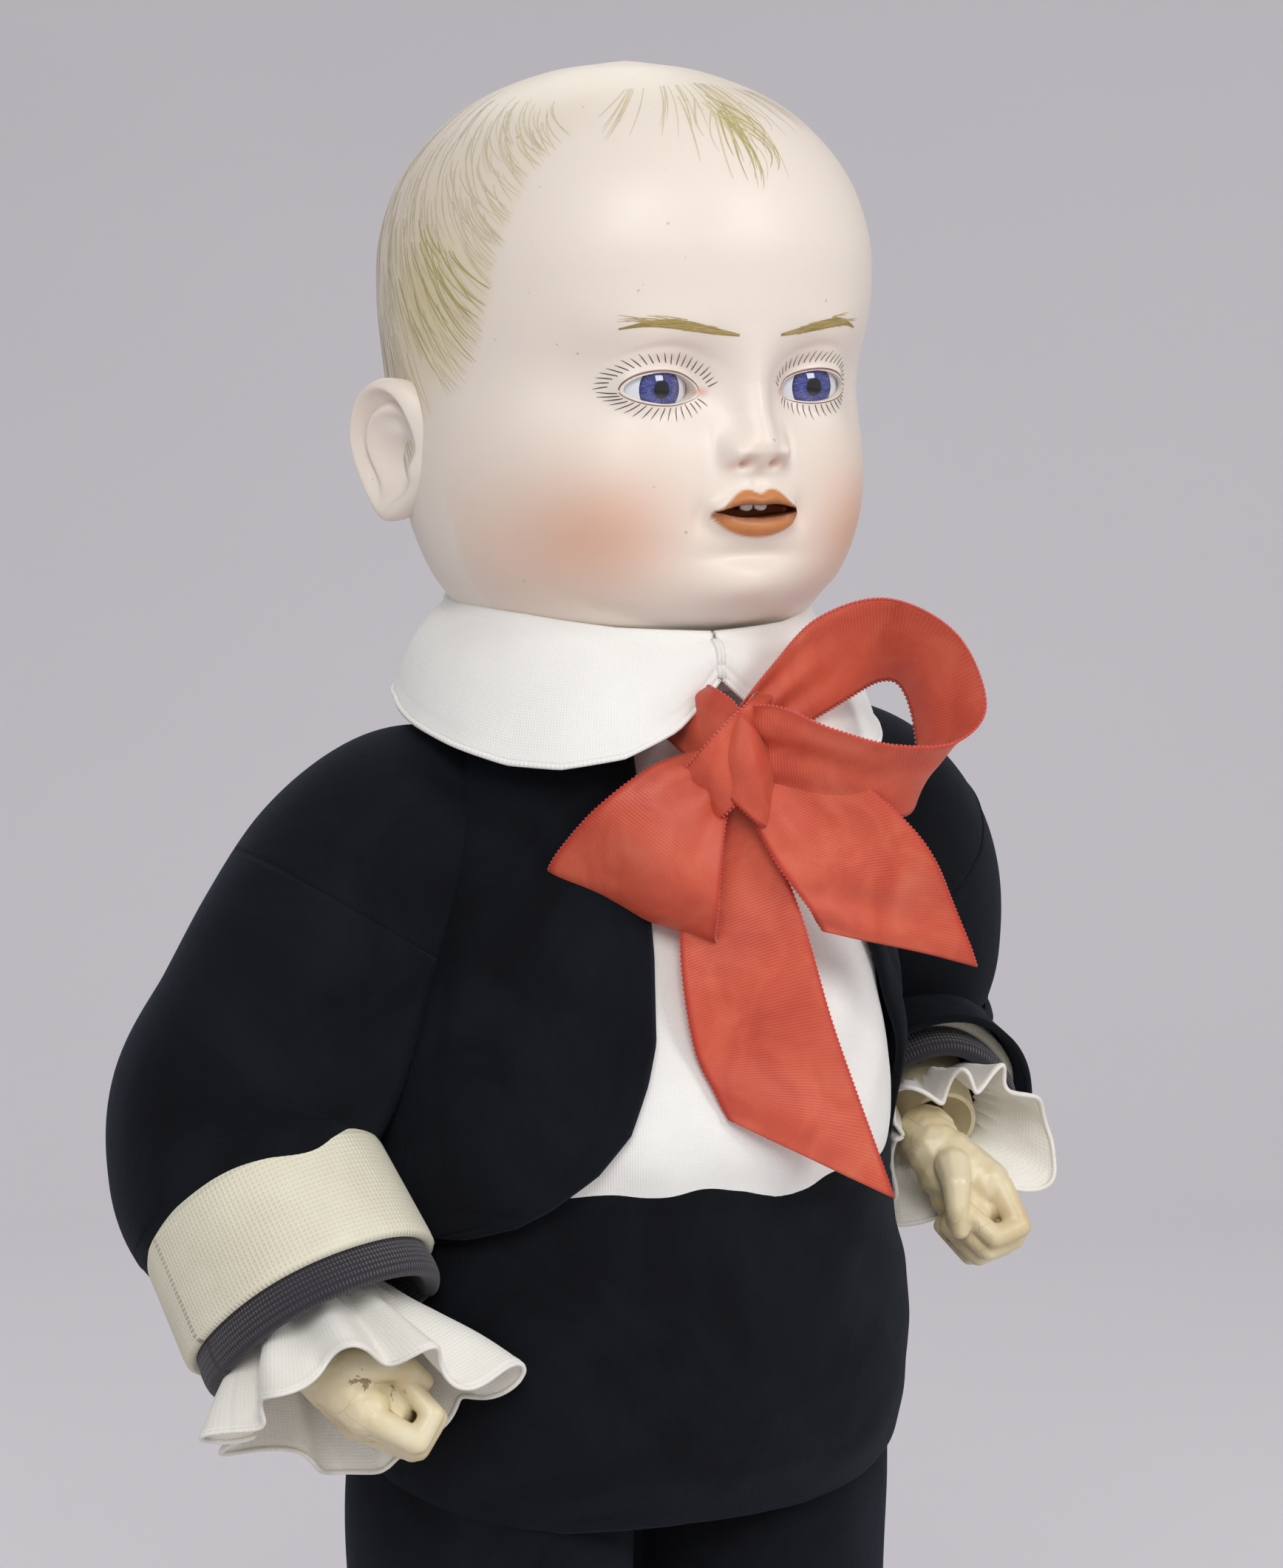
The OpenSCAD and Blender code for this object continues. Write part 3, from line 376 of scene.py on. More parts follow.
# Ribbon: satin with a fine cross weave, a little sheer, picot edges dense
def ribbon_material():
    m = Mat("ribbon_satin", (0.62, 0.07, 0.035), 0.45, Sheen_Weight=0.35, Sheen_Roughness=0.3,
            Sheen_Tint=(1, 0.55, 0.4, 1), Anisotropic=0.4)
    uv = m.n("ShaderNodeUVMap").outputs["UV"]
    a = m.wave(1100, uv, "X", 0.2)
    b = m.wave(520, uv, "Y", 0.6)
    w = m.math("MULTIPLY", a, b)
    moire = m.noise(70, 3, 0.6, vec=m.co((1, 1, 1)), dist=1.0)
    base = m.ramp(moire, [(0.3, (0.62, 0.070, 0.035)), (0.55, (0.76, 0.125, 0.062)), (0.8,
            (0.84, 0.20, 0.11))])
    edge = m.attr("edge")
    c = m.mix(m.math("MULTIPLY", w, 0.5), base, (0.80, 0.22, 0.12))
    m.color(m.mix(edge, c, (0.66, 0.06, 0.035)))
    m.bump(w, 0.35, 0.00015)
    m.rough(b, 0.28, 0.46)
    # open weave lets some light through
    alpha = m.math("ADD", m.math("MULTIPLY", w, 0.22), 0.80)
    m.link(m.math("MAXIMUM", alpha, edge), m.b.inputs["Alpha"])
    tr = m.n("ShaderNodeBsdfTranslucent")
    tr.inputs["Color"].default_value = (0.75, 0.16, 0.08, 1)
    mx = m.n("ShaderNodeMixShader")
    mx.inputs["Fac"].default_value = 0.22
    out = [n for n in m.t.nodes if n.type == "OUTPUT_MATERIAL"][0]
    m.link(m.b.outputs[0], mx.inputs[1])
    m.link(tr.outputs[0], mx.inputs[2])
    m.link(mx.outputs[0], out.inputs["Surface"])
    return m


ribbon = ribbon_material()


# Bisque: pale, satin, blushed by the mask attributes painted on each vertex
def bisque_material():
    m = Mat("bisque", (0.80, 0.73, 0.65), 0.42, Subsurface_Weight=0.12, Subsurface_Scale=0.004,
            Specular_IOR_Level=0.42, Coat_Weight=0.06, Coat_Roughness=0.35)
    m.b.inputs["Subsurface Radius"].default_value = (1.0, 0.45, 0.3)
    base = m.mix(m.noise(25, 4, 0.6), (0.755, 0.665, 0.575), (0.795, 0.715, 0.635))
    c = m.mix(m.attr("hair"), base, (0.66, 0.58, 0.34))
    c = m.mix(m.attr("blush"), c, (0.66, 0.33, 0.20))
    c = m.mix(m.attr("pink"), c, (0.66, 0.36, 0.30))
    lipn = m.mix(m.noise(260, 4, 0.6), (0.46, 0.15, 0.035), (0.62, 0.26, 0.09))
    c = m.mix(m.attr("lip"), c, lipn)
    # painted shade at the mouth opening: the dark mask turns the opening's walls and the lips' inner edge near-black
    # brown
    c = m.mix(m.attr("dark"), c, (0.10, 0.02, 0.012))
    specks = m.ramp(m.noise(520, 2, 0.4), [(0.765, (0, 0, 0)), (0.80, (0.7, 0.7, 0.7))])
    m.color(m.mix(specks, c, (0.42, 0.34, 0.25)))
    m.rough(m.noise(40, 4, 0.6), 0.36, 0.5)
    m.bump(m.noise(900, 3, 0.6), 0.06, 0.0003)
    return m


bisque = bisque_material()


def paint_material(name, color, rough=0.5):
    m = Mat(name, color, rough)
    m.color(m.mix(m.noise(300, 3), tuple(0.8 * c for c in color), tuple(min(1, 1.2 * c) for c in color)))
    return m


lash_paint = paint_material("lash_paint", (0.045, 0.022, 0.022))
brow_paint = paint_material("brow_paint", (0.31, 0.225, 0.06))
hair_paint = paint_material("hair_paint", (0.60, 0.51, 0.33))
hair_dark = paint_material("hair_dark", (0.44, 0.38, 0.15))

tooth_mat = Mat("tooth_porcelain", (0.82, 0.76, 0.66), 0.2, Coat_Weight=0.5)
tooth_mat.color(tooth_mat.mix(tooth_mat.noise(300, 2), (0.76, 0.69, 0.58), (0.86, 0.81, 0.72)))
mouth_mat = Mat("mouth_lining", (0.07, 0.012, 0.008), 0.7)
mouth_mat.color(mouth_mat.mix(mouth_mat.noise(200, 3), (0.42, 0.10, 0.03), (0.62, 0.18, 0.06)))


def eye_material(centre):
    """Glass eye: white ground, threaded violet-blue iris, black pupil, all from the eye's own centre."""
    m = Mat("eye_glass", (0.7, 0.7, 0.75), 0.04, Coat_Weight=1.0, Coat_Roughness=0.02, IOR=1.5)
    sub = m.n("ShaderNodeVectorMath", operation="SUBTRACT")
    m.link(m.n("ShaderNodeTexCoord").outputs["Object"], sub.inputs[0])
    sub.inputs[1].default_value = [float(c) * MM for c in centre]
    # turn so that +X runs across the face and -Y looks out of it
    vr = m.n("ShaderNodeVectorRotate", rotation_type="Z_AXIS")
    vr.inputs["Angle"].default_value = -TURN + GAZE
    m.link(sub.outputs[0], vr.inputs["Vector"])
    sep = m.n("ShaderNodeSeparateXYZ")
    m.link(vr.outputs[0], sep.inputs[0])
    x, y, z = sep.outputs
    z = m.math("ADD", z, 0.0003)
    r = m.math("SQRT", m.math("ADD", m.math("MULTIPLY", x, x), m.math("MULTIPLY", z, z)))
    ang = m.math("ARCTAN2", z, x)
    comb = m.n("ShaderNodeCombineXYZ")
    m.link(m.math("MULTIPLY", m.math("COSINE", ang), 1.0), comb.inputs[0])
    m.link(m.math("MULTIPLY", m.math("SINE", ang), 1.0), comb.inputs[1])
    m.link(m.math("MULTIPLY", r, 55.0), comb.inputs[2])
    streak = m.noise(15, 4, 0.7, vec=comb.outputs[0])
    rn = m.math("DIVIDE", r, 0.0048)
    iris = m.ramp(streak, [(0.32, (0.012, 0.014, 0.085)), (0.5, (0.045, 0.055, 0.24)), (0.72,
            (0.20, 0.22, 0.50))])
    ring = m.ramp(rn, [(0.30, (0.55, 0.55, 0.62)), (0.6, (1, 1, 1)), (0.85, (0.75, 0.75, 0.8)), (1.0,
            (0.12, 0.12, 0.25))])
    iris = m.mix(1.0, iris, ring, "MULTIPLY")
    white = m.mix(m.noise(150, 3), (0.62, 0.64, 0.70), (0.72, 0.73, 0.77))
    c = m.mix(m.ramp(rn, [(0.99, (0, 0, 0)), (1.03, (1, 1, 1))]), iris, white)
    c = m.mix(m.ramp(rn, [(0.36, (1, 1, 1)), (0.41, (0, 0, 0))]), c, (0.002, 0.002, 0.004))
    m.color(c)
    front = m.math("LESS_THAN", y, 0.0)
    m.color(m.mix(front, (0.6, 0.6, 0.62), c))
    return m


GAZE = 0.0
EYE_C = {}
for s_, node_ in (("right", "eye_right"), ("left", "eye_left")):
    lo_, hi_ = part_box(node_)
    EYE_C[s_] = np.array([(a + b) / 2 for a, b in zip(lo_, hi_)]) / MM



# ---- Camera, first: it stands a little to the doll's right and above ----
def camera():
    cam = bpy.data.objects.new("Camera", bpy.data.cameras.new("Camera"))
    bpy.context.collection.objects.link(cam)
    az, el, dist = math.radians(-28), math.radians(6.0), 1.04
    target = Vector((0.0024, 0.0, 0.350))
    way = Vector((math.sin(az) * math.cos(el), -math.cos(az) * math.cos(el), math.sin(el)))
    right = Vector((math.cos(az), math.sin(az), 0))
    target = target + right * 0.0053
    cam.location = target + way * dist
    cam.rotation_euler = (-way).to_track_quat("-Z", "Y").to_euler()
    cam.data.sensor_fit = "VERTICAL"
    cam.data.sensor_height = 36
    cam.data.lens = 36 * dist / 0.329
    bpy.context.scene.camera = cam
    return cam


camera()


# ---- Head ----
SKULL = [[12, 26, 26, 25], [15, 31, 33, 26], [20, 37, 41, 27.5], [27, 43, 46, 30], [36, 47, 47.5, 34],
         [47, 49, 48, 40], [58, 49.5, 48.5, 45], [70, 50, 49.5, 50], [84, 50.5, 51.5, 53.5],
         [96, 49.5, 52, 54], [108, 45, 48.5, 50.5], [118, 37, 41, 43], [125, 27.5, 31, 33],
         [130, 15, 17, 18], [132, 3, 4, 4]]
EYE_X, EYE_Y, EYE_Z = 18.5, -31.5, 66.0
LIP_Z = 41.2


def H(p):
    """Head-frame millimetres (neck joint at the origin, face along -Y) to row-frame millimetres."""
    p = np.asarray(p, float)
    c, s = math.cos(TURN), math.sin(TURN)
    x, y, z = p[..., 0], p[..., 1], p[..., 2]
    return np.stack([x * c - y * s + AX, x * s + y * c + AY, z + NZ], -1)


def skull_profile():
    """Rings up the skull, closest together over the face."""
    t = catmull(SKULL, 40)
    step = np.where((t[:-1, 0] > 30) & (t[:-1, 0] < 82), 0.45, 1.25)
    s = np.concatenate([[0], np.cumsum(np.linalg.norm(np.diff(t[:, [0, 1]], axis=0), axis=1) / step)])
    k = np.linspace(0, s[-1], int(s[-1]))
    return np.stack([np.interp(k, s, t[:, i]) for i in range(4)], -1)


def skull_angles(n):
    """Angles from the face, closest together at the front."""
    a = np.linspace(-math.pi, math.pi, 2001)
    w = 1 + 2.2 * np.exp(-(a / 0.95) ** 4)
    c = np.concatenate([[0], np.cumsum((w[1:] + w[:-1]) / 2)])
    return np.interp(np.arange(n) / n * c[-1], c, a)


def lip_line(x, kind):
    """Heights above the neck joint of the lips' edges and of the opening, at x."""
    u = np.clip(1 - (x / 10.4) ** 2, 0, 1)
    if kind == "top":
        bow = 4.9 * u ** 0.75 - 1.25 * bell(x, 1.9) - 1.1 * bell(np.abs(x) - 8.2, 2.4)
        return LIP_Z + bow
    if kind == "bottom":
        return LIP_Z - 5.2 * u ** 0.55
    v = np.clip(1 - (x / 9.6) ** 2, 0, 1)
    return LIP_Z + (1.6 * v ** 0.8 - 0.35 * bell(x, 2.2) if kind == "upper" else -1.2 * v ** 0.9)


def face(x, y, z):
    """The face's relief: how far each point of the plain skull moves out (mm)."""
    ax = np.abs(x)
    front = sstep(0.0, 18.0, -y)
    d = -6.2 * bell(ax - 13.5, 9.0) * bell(z - 66.3, 8.0)
    d += -3.0 * bell(ax - 35, 10.5) * bell(z - 67, 10)
    d += 0.9 * bell(ax - 20, 12) * bell(z - 77.5, 4.5)
    zs = [45.5, 48.2, 49.8, 51.4, 53.2, 55, 57.5, 61, 67, 73, 79]
    nose = np.interp(z, zs, [0, 0.5, 1.9, 3.6, 4.9, 5.2, 4.4, 2.8, 1.3, 0.6, 0])
    wide = np.interp(z, zs, [4.5, 4.6, 4.8, 5.0, 5.2, 5.1, 4.6, 4.1, 4.3, 5.5, 7])
    d += nose * np.exp(-(ax / wide) ** 2.5)
    d += 2.9 * bell(ax - 6.0, 2.3) * bell(z - 53.1, 2.9)
    d -= 0.7 * bell(ax - 8.9, 1.3) * bell(z - 53.5, 3.6)
    d -= 2.3 * bell(ax - 3.5, 1.55) * bell(z - 50.9, 1.15)
    d -= 0.5 * bell(x, 1.6) * bell(z - 47.8, 2.2)
    d += 2.0 * bell(x, 8.6) * bell(z - LIP_Z, 6.8)
    top, bot = lip_line(x, "top"), lip_line(x, "bottom")
    up, low = lip_line(x, "upper"), lip_line(x, "lower")
    edge = sstep(11.2, 8.2, ax)
    d += 1.6 * edge * bell(z - (top * 0.42 + up * 0.58), 1.9)
    d += 1.9 * edge * bell(z - (bot * 0.5 + low * 0.5), 2.1)
    d -= 1.2 * bell(ax - 11.8, 2.2) * bell(z - 40, 3.6)
    d -= 1.6 * bell(x, 9.5) * bell(z - 32.2, 2.0)
    d += 3.0 * bell(x, 10.5) * bell(z - 25.5, 5.5)
    d += 2.2 * bell(ax - 27, 12.5) * bell(z - 43, 13)
    d -= 1.1 * bell(z - (17.5 + 0.006 * x ** 2), 1.5) * sstep(38, 20, ax)
    d += 0.7 * bell(z - (13.6 + 0.006 * x ** 2), 2.0) * sstep(38, 20, ax)
    return d * front


def almond(side, grow=0.0, n=64, lift=0.0):
    """The eye opening's outline in the head frame (x, z), from the outer corner over the top."""
    t = np.linspace(0, 2 * math.pi, n, endpoint=False)
    u = np.cos(t)
    up = np.sin(t) > 0
    lid = np.abs(np.sin(t)) ** np.where(up, 0.92, 1.02)
    z = np.where(up, 4.0 + grow, -(2.55 + grow)) * lid
    z = z + 0.35 * (u > 0) * np.where(up, -1, 1) * np.abs(np.sin(2 * t)) * 0.5
    x = (8.4 + grow) * u
    return np.stack([side * (EYE_X + x), EYE_Z - 0.8 + z + lift + 0.25 * u], -1)


def head_surface():
    prof, ang = skull_profile(), skull_angles(330)
    z, w, f, b = [np.repeat(prof[:, i][:, None], len(ang), 1) for i in range(4)]
    a = np.repeat(ang[None, :], len(prof), 0)
    depth = np.where(np.cos(a) > 0, f, b)
    p = np.where(np.cos(a) > 0, 2.05, 2.03)
    r = (np.abs(np.sin(a) / w) ** p + np.abs(np.cos(a) / depth) ** p) ** (-1 / p)
    x, y = r * np.sin(a), -r * np.cos(a)
    d = face(x, y, z)
    # the relief pushes mostly forward near the middle, outward at the cheeks
    nx, ny = np.sin(a) * sstep(6, 32, np.abs(x)), -np.cos(a)
    ln = np.hypot(nx, ny) + 1e-6
    x, y = x + d * nx / ln, y + d * ny / ln
    # lids: at the front only, the skin goes over the eyeballs a little proud of them
    for s in (-1, 1):
        q = (x - s * EYE_X) ** 2 + (z - EYE_Z) ** 2
        ball = EYE_Y - np.sqrt(np.clip(12.35 ** 2 - q, 0, None))
        near = sstep(11.6 ** 2, 7.5 ** 2, q) * (y < 0)
        gap = (y - ball) * near
        y = y - np.where(gap > -1.2, (gap + 1.2) ** 2 / np.where(gap > 1.2, 1e9, 4.8) + np.where(gap > 1.2,
                gap, 0), 0) * near
    # fold above each lid
    y = y + 0.45 * bell(z - (74.3 - 0.028 * (np.abs(x) - 18.5) ** 2), 0.9) * bell(np.abs(x) - 18.5,
            9) * (y < 0)
    return np.stack([x, y, z], -1), ang


def solid_from_outline(name, outline, y0, y1, mat, taper=0.0):
    """A prism through the face: outline in (x, z), from y0 to y1."""
    o = np.asarray(outline)
    c = o.mean(0)
    ends = [np.stack([o[:, 0], np.full(len(o), y0), o[:, 1]], -1),
            np.stack([c[0] + (o[:, 0] - c[0]) * (1 - taper), np.full(len(o), y1),
                    c[1] + (o[:, 1] - c[1]) * (1 - taper)], -1)]
    v = H(np.vstack(ends))
    n = len(o)
    f = grid_faces(2, n, wrap_n=True) + [tuple(range(n))[::-1], tuple(range(n, 2 * n))]
    ob = mesh(name, v, f, mat, smooth=False)
    fix_normals(ob)
    return ob


def fix_normals(ob):
    bm = bmesh.new()
    bm.from_mesh(ob.data)
    bmesh.ops.recalc_face_normals(bm, faces=bm.faces)
    bm.to_mesh(ob.data)
    bm.free()


def ball(name, centre, r, mat, seg=48):
    bm = bmesh.new()
    bmesh.ops.create_uvsphere(bm, u_segments=seg, v_segments=seg // 2, radius=r * MM)
    me = bpy.data.meshes.new(name)
    bm.to_mesh(me)
    bm.free()
    ob = bpy.data.objects.new(name, me)
    bpy.context.collection.objects.link(ob)
    me.transform(Matrix.Translation(Vector(np.asarray(centre, float) * MM)))
    me.materials.append(mat.m)
    return ob


def cut(ob, cutters):
    """Takes the cutters out of ob, then removes them. A cut that goes wrong is tried again, a hair to one side."""
    for c in cutters:
        kept = ob.data.copy()
        for k in range(6):
            modifier(ob, "BOOLEAN", operation="DIFFERENCE", object=c, solver="EXACT" if k % 2 else "MANIFOLD")
            bake(ob)
            if len(ob.data.vertices) > 0.9 * len(kept.vertices):
                break
            ob.data = kept.copy()
            c.data.transform(Matrix.Translation((0.000017 * (k + 1), 0.000011, -0.000013 * (k + 1))))
    for c in cutters:
        bpy.data.objects.remove(c)
    return ob


def make_head():
    P, _ = head_surface()
    m, n = P.shape[:2]
    v = [tuple(q) for q in P.reshape(-1, 3)]
    f = grid_faces(m, n, wrap_n=True)
    v += [(0, 0, 12.0), (0, 0, 132.3)]
    f += [(j, len(v) - 2, (j + 1) % n) for j in range(n)]
    f += [((m - 1) * n + j, (m - 1) * n + (j + 1) % n, len(v) - 1) for j in range(n)]
    ob = mesh("head_bisque", H(v), f, bisque)
    fix_normals(ob)
    # inside: a hollow that follows the outside, the eyes' sockets and the neck's cup
    inner = P[3:-1:4, ::4].copy()
    k = np.array([0.86, 0.84, 1.0])
    inner = inner * k
    inner[..., 2] = 66 + (P[3:-1:4, ::4][..., 2] - 66) * 0.90
    mi, ni = inner.shape[:2]
    vi = [tuple(q) for q in inner.reshape(-1, 3)] + [(0, 0, inner[0, 0, 2]), (0, 0, inner[-1, 0, 2] + 1)]
    fi = grid_faces(mi, ni, wrap_n=True)
    fi += [(j, len(vi) - 2, (j + 1) % ni) for j in range(ni)]
    fi += [((mi - 1) * ni + j, (mi - 1) * ni + (j + 1) % ni, len(vi) - 1) for j in range(ni)]
    hollow = mesh("hollow", H(vi), fi, bisque)
    fix_normals(hollow)
    cutters = [hollow, ball("cup", H((0, 0, 0)), 24.5, bisque, 64)]
    for s in (-1, 1):
        cutters.append(solid_from_outline("slit", almond(s), -60, -33, bisque, 0.06))
        cutters.append(ball("socket", H((s * EYE_X, EYE_Y, EYE_Z)), 11.08, bisque, 72))
    xs = np.linspace(-9.6, 9.6, 25)
    mouth = [(x, lip_line(x, "upper")) for x in xs] + [(x, lip_line(x, "lower")) for x in xs[-2:0:-1]]
    cutters.append(solid_from_outline("mouth", mouth, -62, -38, bisque, -0.05))
    cut(ob, cutters)
    paint_head(ob)
    return ob


def to_head(co):
    """Row-frame millimetres back to the head frame."""
    c, s = math.cos(-TURN), math.sin(-TURN)
    x, y, z = co[:, 0] - AX, co[:, 1] - AY, co[:, 2] - NZ
    return x * c - y * s, x * s + y * c, z


def coords(ob):
    a = np.zeros(len(ob.data.vertices) * 3, np.float32)
    ob.data.vertices.foreach_get("co", a)
    return a.reshape(-1, 3).astype(float) / MM


def attribute(ob, name, values):
    at = ob.data.attributes.new(name, "FLOAT", "POINT")
    at.data.foreach_set("value", np.asarray(values, np.float32).ravel())


def hairline(theta):
    """Height above the neck joint below which a point is skin, by angle from the face (deg)."""
    return np.interp(np.abs(theta), [0, 8, 20, 38, 50, 56, 62, 68, 74, 84, 110, 130, 180],
                     [113, 116, 121, 120, 115, 108, 92, 74, 66, 62, 36, 26, 24])


def paint_head(ob):
    x, y, z = to_head(coords(ob))
    ax = np.abs(x)
    th = np.degrees(np.arctan2(x, -y))
    front = y < -8
    blush = 0.72 * bell(ax - 31, 15) * bell(z - 36.5, 13.5) * sstep(0, 16, -y)
    blush += 0.10 * bell(x, 10) * bell(z - 25, 6) + 0.08 * bell(ax - 18, 10) * bell(z - 74, 5)
    blush += 0.07 * bell(x, 6) * bell(z - 53, 5)
    attribute(ob, "blush", np.clip(blush, 0, 0.75) * front)
    pink = 0.9 * bell(ax - (EYE_X - 8.9), 1.0) * bell(z - (EYE_Z - 1.0), 1.0)
    pink += 0.8 * bell(ax - 3.5, 1.2) * bell(z - 51.0, 0.9) + 0.35 * bell(ax - 6.4, 1.4) * bell(z - 50.6, 1.0)
    attribute(ob, "pink", np.clip(pink, 0, 1) * front)
    top, bot = lip_line(x, "top"), lip_line(x, "bottom")
    mask = sstep(-0.3, 0.3, top - z) * sstep(-0.3, 0.3, z - bot) * (ax < 10.3) * (y < -38)
    attribute(ob, "lip", mask)
    # the dark mask is painted shade in the mouth opening: nearly full on the cut walls, fading over the lips within
    # about a millimetre of the edge, partly the lips' deeper inner colour
    up, low = lip_line(x, "upper"), lip_line(x, "lower")
    near = np.minimum(np.abs(z - up), np.abs(z - low))
    inside = (z < up + 0.2) & (z > low - 0.2) & (ax < 10)
    attribute(ob, "dark", mask * np.clip(np.where(inside, 0.8, 0.6 * bell(near, 1.0)), 0, 1))
    wob = np.array([2.5 * nz(a, b, c, 0.09) for a, b, c in zip(x, y, z)])
    h = sstep(-3, 8, z + wob - hairline(th))
    patch = bell(np.abs(th) - 86, 17) * bell(z - 84, 15) + 0.8 * bell(th - 1, 6) * bell(z - 119, 5)
    attribute(ob, "hair", np.clip(h * (0.22 + 0.75 * np.clip(patch, 0, 1)), 0, 1))


head = make_head()
HEAD_BVH = BVHTree.FromObject(head, bpy.context.evaluated_depsgraph_get())


def on_head(origin, direction, out=0.05):
    """Where a ray from outside meets the head (head frame in, row frame out), a little proud."""
    o, d = Vector(H(origin) * MM), Vector((H(np.array(origin) + np.array(direction)) - H(origin)).tolist()).normalized()
    hit, n, _, _ = HEAD_BVH.ray_cast(o, d)
    if hit is None:
        return None, None
    return np.array(hit) / MM + np.array(n) * out, np.array(n)


def strokes(name, paths, widths, mat, out=0.05):
    """Painted hairs: each a flat tapered ribbon on the surface. paths are lists of (origin, direction)."""
    v, f = [], []
    for path, wid in zip(paths, widths):
        pts = [on_head(o, d, out) for o, d in path]
        pts = [q for q in pts if q[0] is not None]
        if len(pts) < 3:
            continue
        base = len(v)
        for i, (p, n) in enumerate(pts):
            a = pts[max(i - 1, 0)][0]
            b = pts[min(i + 1, len(pts) - 1)][0]
            side = unit(np.cross(b - a, n)) if np.linalg.norm(b - a) > 1e-6 else np.array([1, 0, 0])
            t = i / (len(pts) - 1)
            w = wid * (0.25 + 0.75 * math.sin(math.pi * min(1, 0.18 + 0.86 * t)) ** 0.7) / 2
            v += [p - side * w, p + side * w]
        for i in range(len(pts) - 1):
            k = base + 2 * i
            f.append((k, k + 1, k + 3, k + 2))
    ob = mesh(name, v, f, mat)
    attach(ob, "head")
    return ob


def front_ray(x, z):
    return ((x, -80, z), (0, 1, 0))


def lashes():
    paths, widths = [], []
    for s in (-1, 1):
        for row, count in (("up", 22), ("low", 17)):
            for i in range(count):
                t = (i + 0.5) / count
                a = math.pi * (0.015 + 0.95 * t) if row == "up" else -math.pi * (0.03 + 0.86 * t)
                k = lambda g: almond_point(s, a, g)
                g0, g1 = (1.7, 4.0) if row == "up" else (0.6, 3.3)
                g0 += rnd.uniform(-0.15, 0.15)
                g1 += rnd.uniform(-0.35, 0.3) - (0.5 if t > 0.85 else 0)
                lean = 0.09 if row == "up" else -0.12
                pts = []
                for j in range(6):
                    q = j / 5
                    p = almond_point(s, a - lean * q, g0 + (g1 - g0) * q)
                    pts.append(front_ray(p[0], p[1]))
                paths.append(pts)
                widths.append(0.21)
    return strokes("lashes", paths, widths, lash_paint)


def almond_point(side, a, grow):
    """A point outside the opening's edge at angle a, by grow millimetres."""
    u, up = math.cos(a), math.sin(a) > 0
    lid = abs(math.sin(a)) ** (0.92 if up else 1.02)
    z = (4.0 + grow if up else -(2.55 + grow)) * lid
    return (side * (EYE_X + (8.4 + grow) * u), EYE_Z - 0.8 + z + 0.25 * u)


def lid_lines():
    """The thin dark line round each opening."""
    paths, widths = [], []
    for s in (-1, 1):
        for a0, a1, w in ((0.02, 3.1, 0.42), (-0.1, -3.0, 0.22)):
            paths.append([front_ray(*almond_point(s, a0 + (a1 - a0) * i / 36, 0.22)) for i in range(37)])
            widths.append(w)
    return strokes("lid_lines", paths, widths, paint_material("lid_paint", (0.20, 0.10, 0.09)))


def brows():
    paths, widths, fine, fw = [], [], [], []
    for s in (-1, 1):
        line = catmull([(5.0, 76.4), (10, 77.2), (15.5, 78.2), (20.5, 78.8), (24.5, 78.6), (28.5, 77.7)], 10)
        thick = [0.3, 1.1, 1.8, 1.7, 0.9, 0.3]
        for k in range(-4, 5):
            pts = []
            for i, (x, z) in enumerate(line):
                th = np.interp(i / (len(line) - 1) * 5, range(6), thick)
                pts.append(front_ray(s * x, z + k * th / 9))
            paths.append(pts)
            widths.append(0.34)
        for _ in range(30):
            i = rnd.randrange(0, len(line) - 12)
            x, z = line[i]
            th = np.interp(i / (len(line) - 1) * 5, range(6), thick)
            z += rnd.uniform(-0.4, 0.75) * th
            ln = rnd.uniform(3.5, 7.5)
            rise = rnd.uniform(0.02, 0.3)
            fine.append([front_ray(s * (x + ln * q / 6), z + (ln * rise) * q / 6 - 0.018 * (ln * q / 6) ** 2)
                         for q in range(7)])
            fw.append(0.16)
    strokes("brow_fill", paths, widths, brow_paint, 0.045)
    return strokes("brow_hairs", fine, fw, brow_fine, 0.06)


brow_fine = paint_material("brow_fine", (0.42, 0.31, 0.13))


SKULL_TABLE = catmull(SKULL, 30)


def skull_point(theta, z):
    w, f, b = [np.interp(z, SKULL_TABLE[:, 0], SKULL_TABLE[:, i]) for i in (1, 2, 3)]
    d = f if math.cos(theta) > 0 else b
    r = 1 / math.hypot(math.sin(theta) / w, math.cos(theta) / d)
    return np.array([r * math.sin(theta), -r * math.cos(theta), z])


def skull_ray(theta, z):
    """A ray straight at the skull's surface at an angle from the face (deg) and a height."""
    t = math.radians(theta)
    z = min(z, 130.5)
    n = unit(np.cross(skull_point(t + 0.02, z) - skull_point(t - 0.02, z), skull_point(t,
            z + 0.3) - skull_point(t, z - 0.3)))
    p = skull_point(t, z)
    if n.dot(p - np.array([0, 0, 66])) < 0:
        n = -n
    return tuple(p + n * 20), tuple(-n)


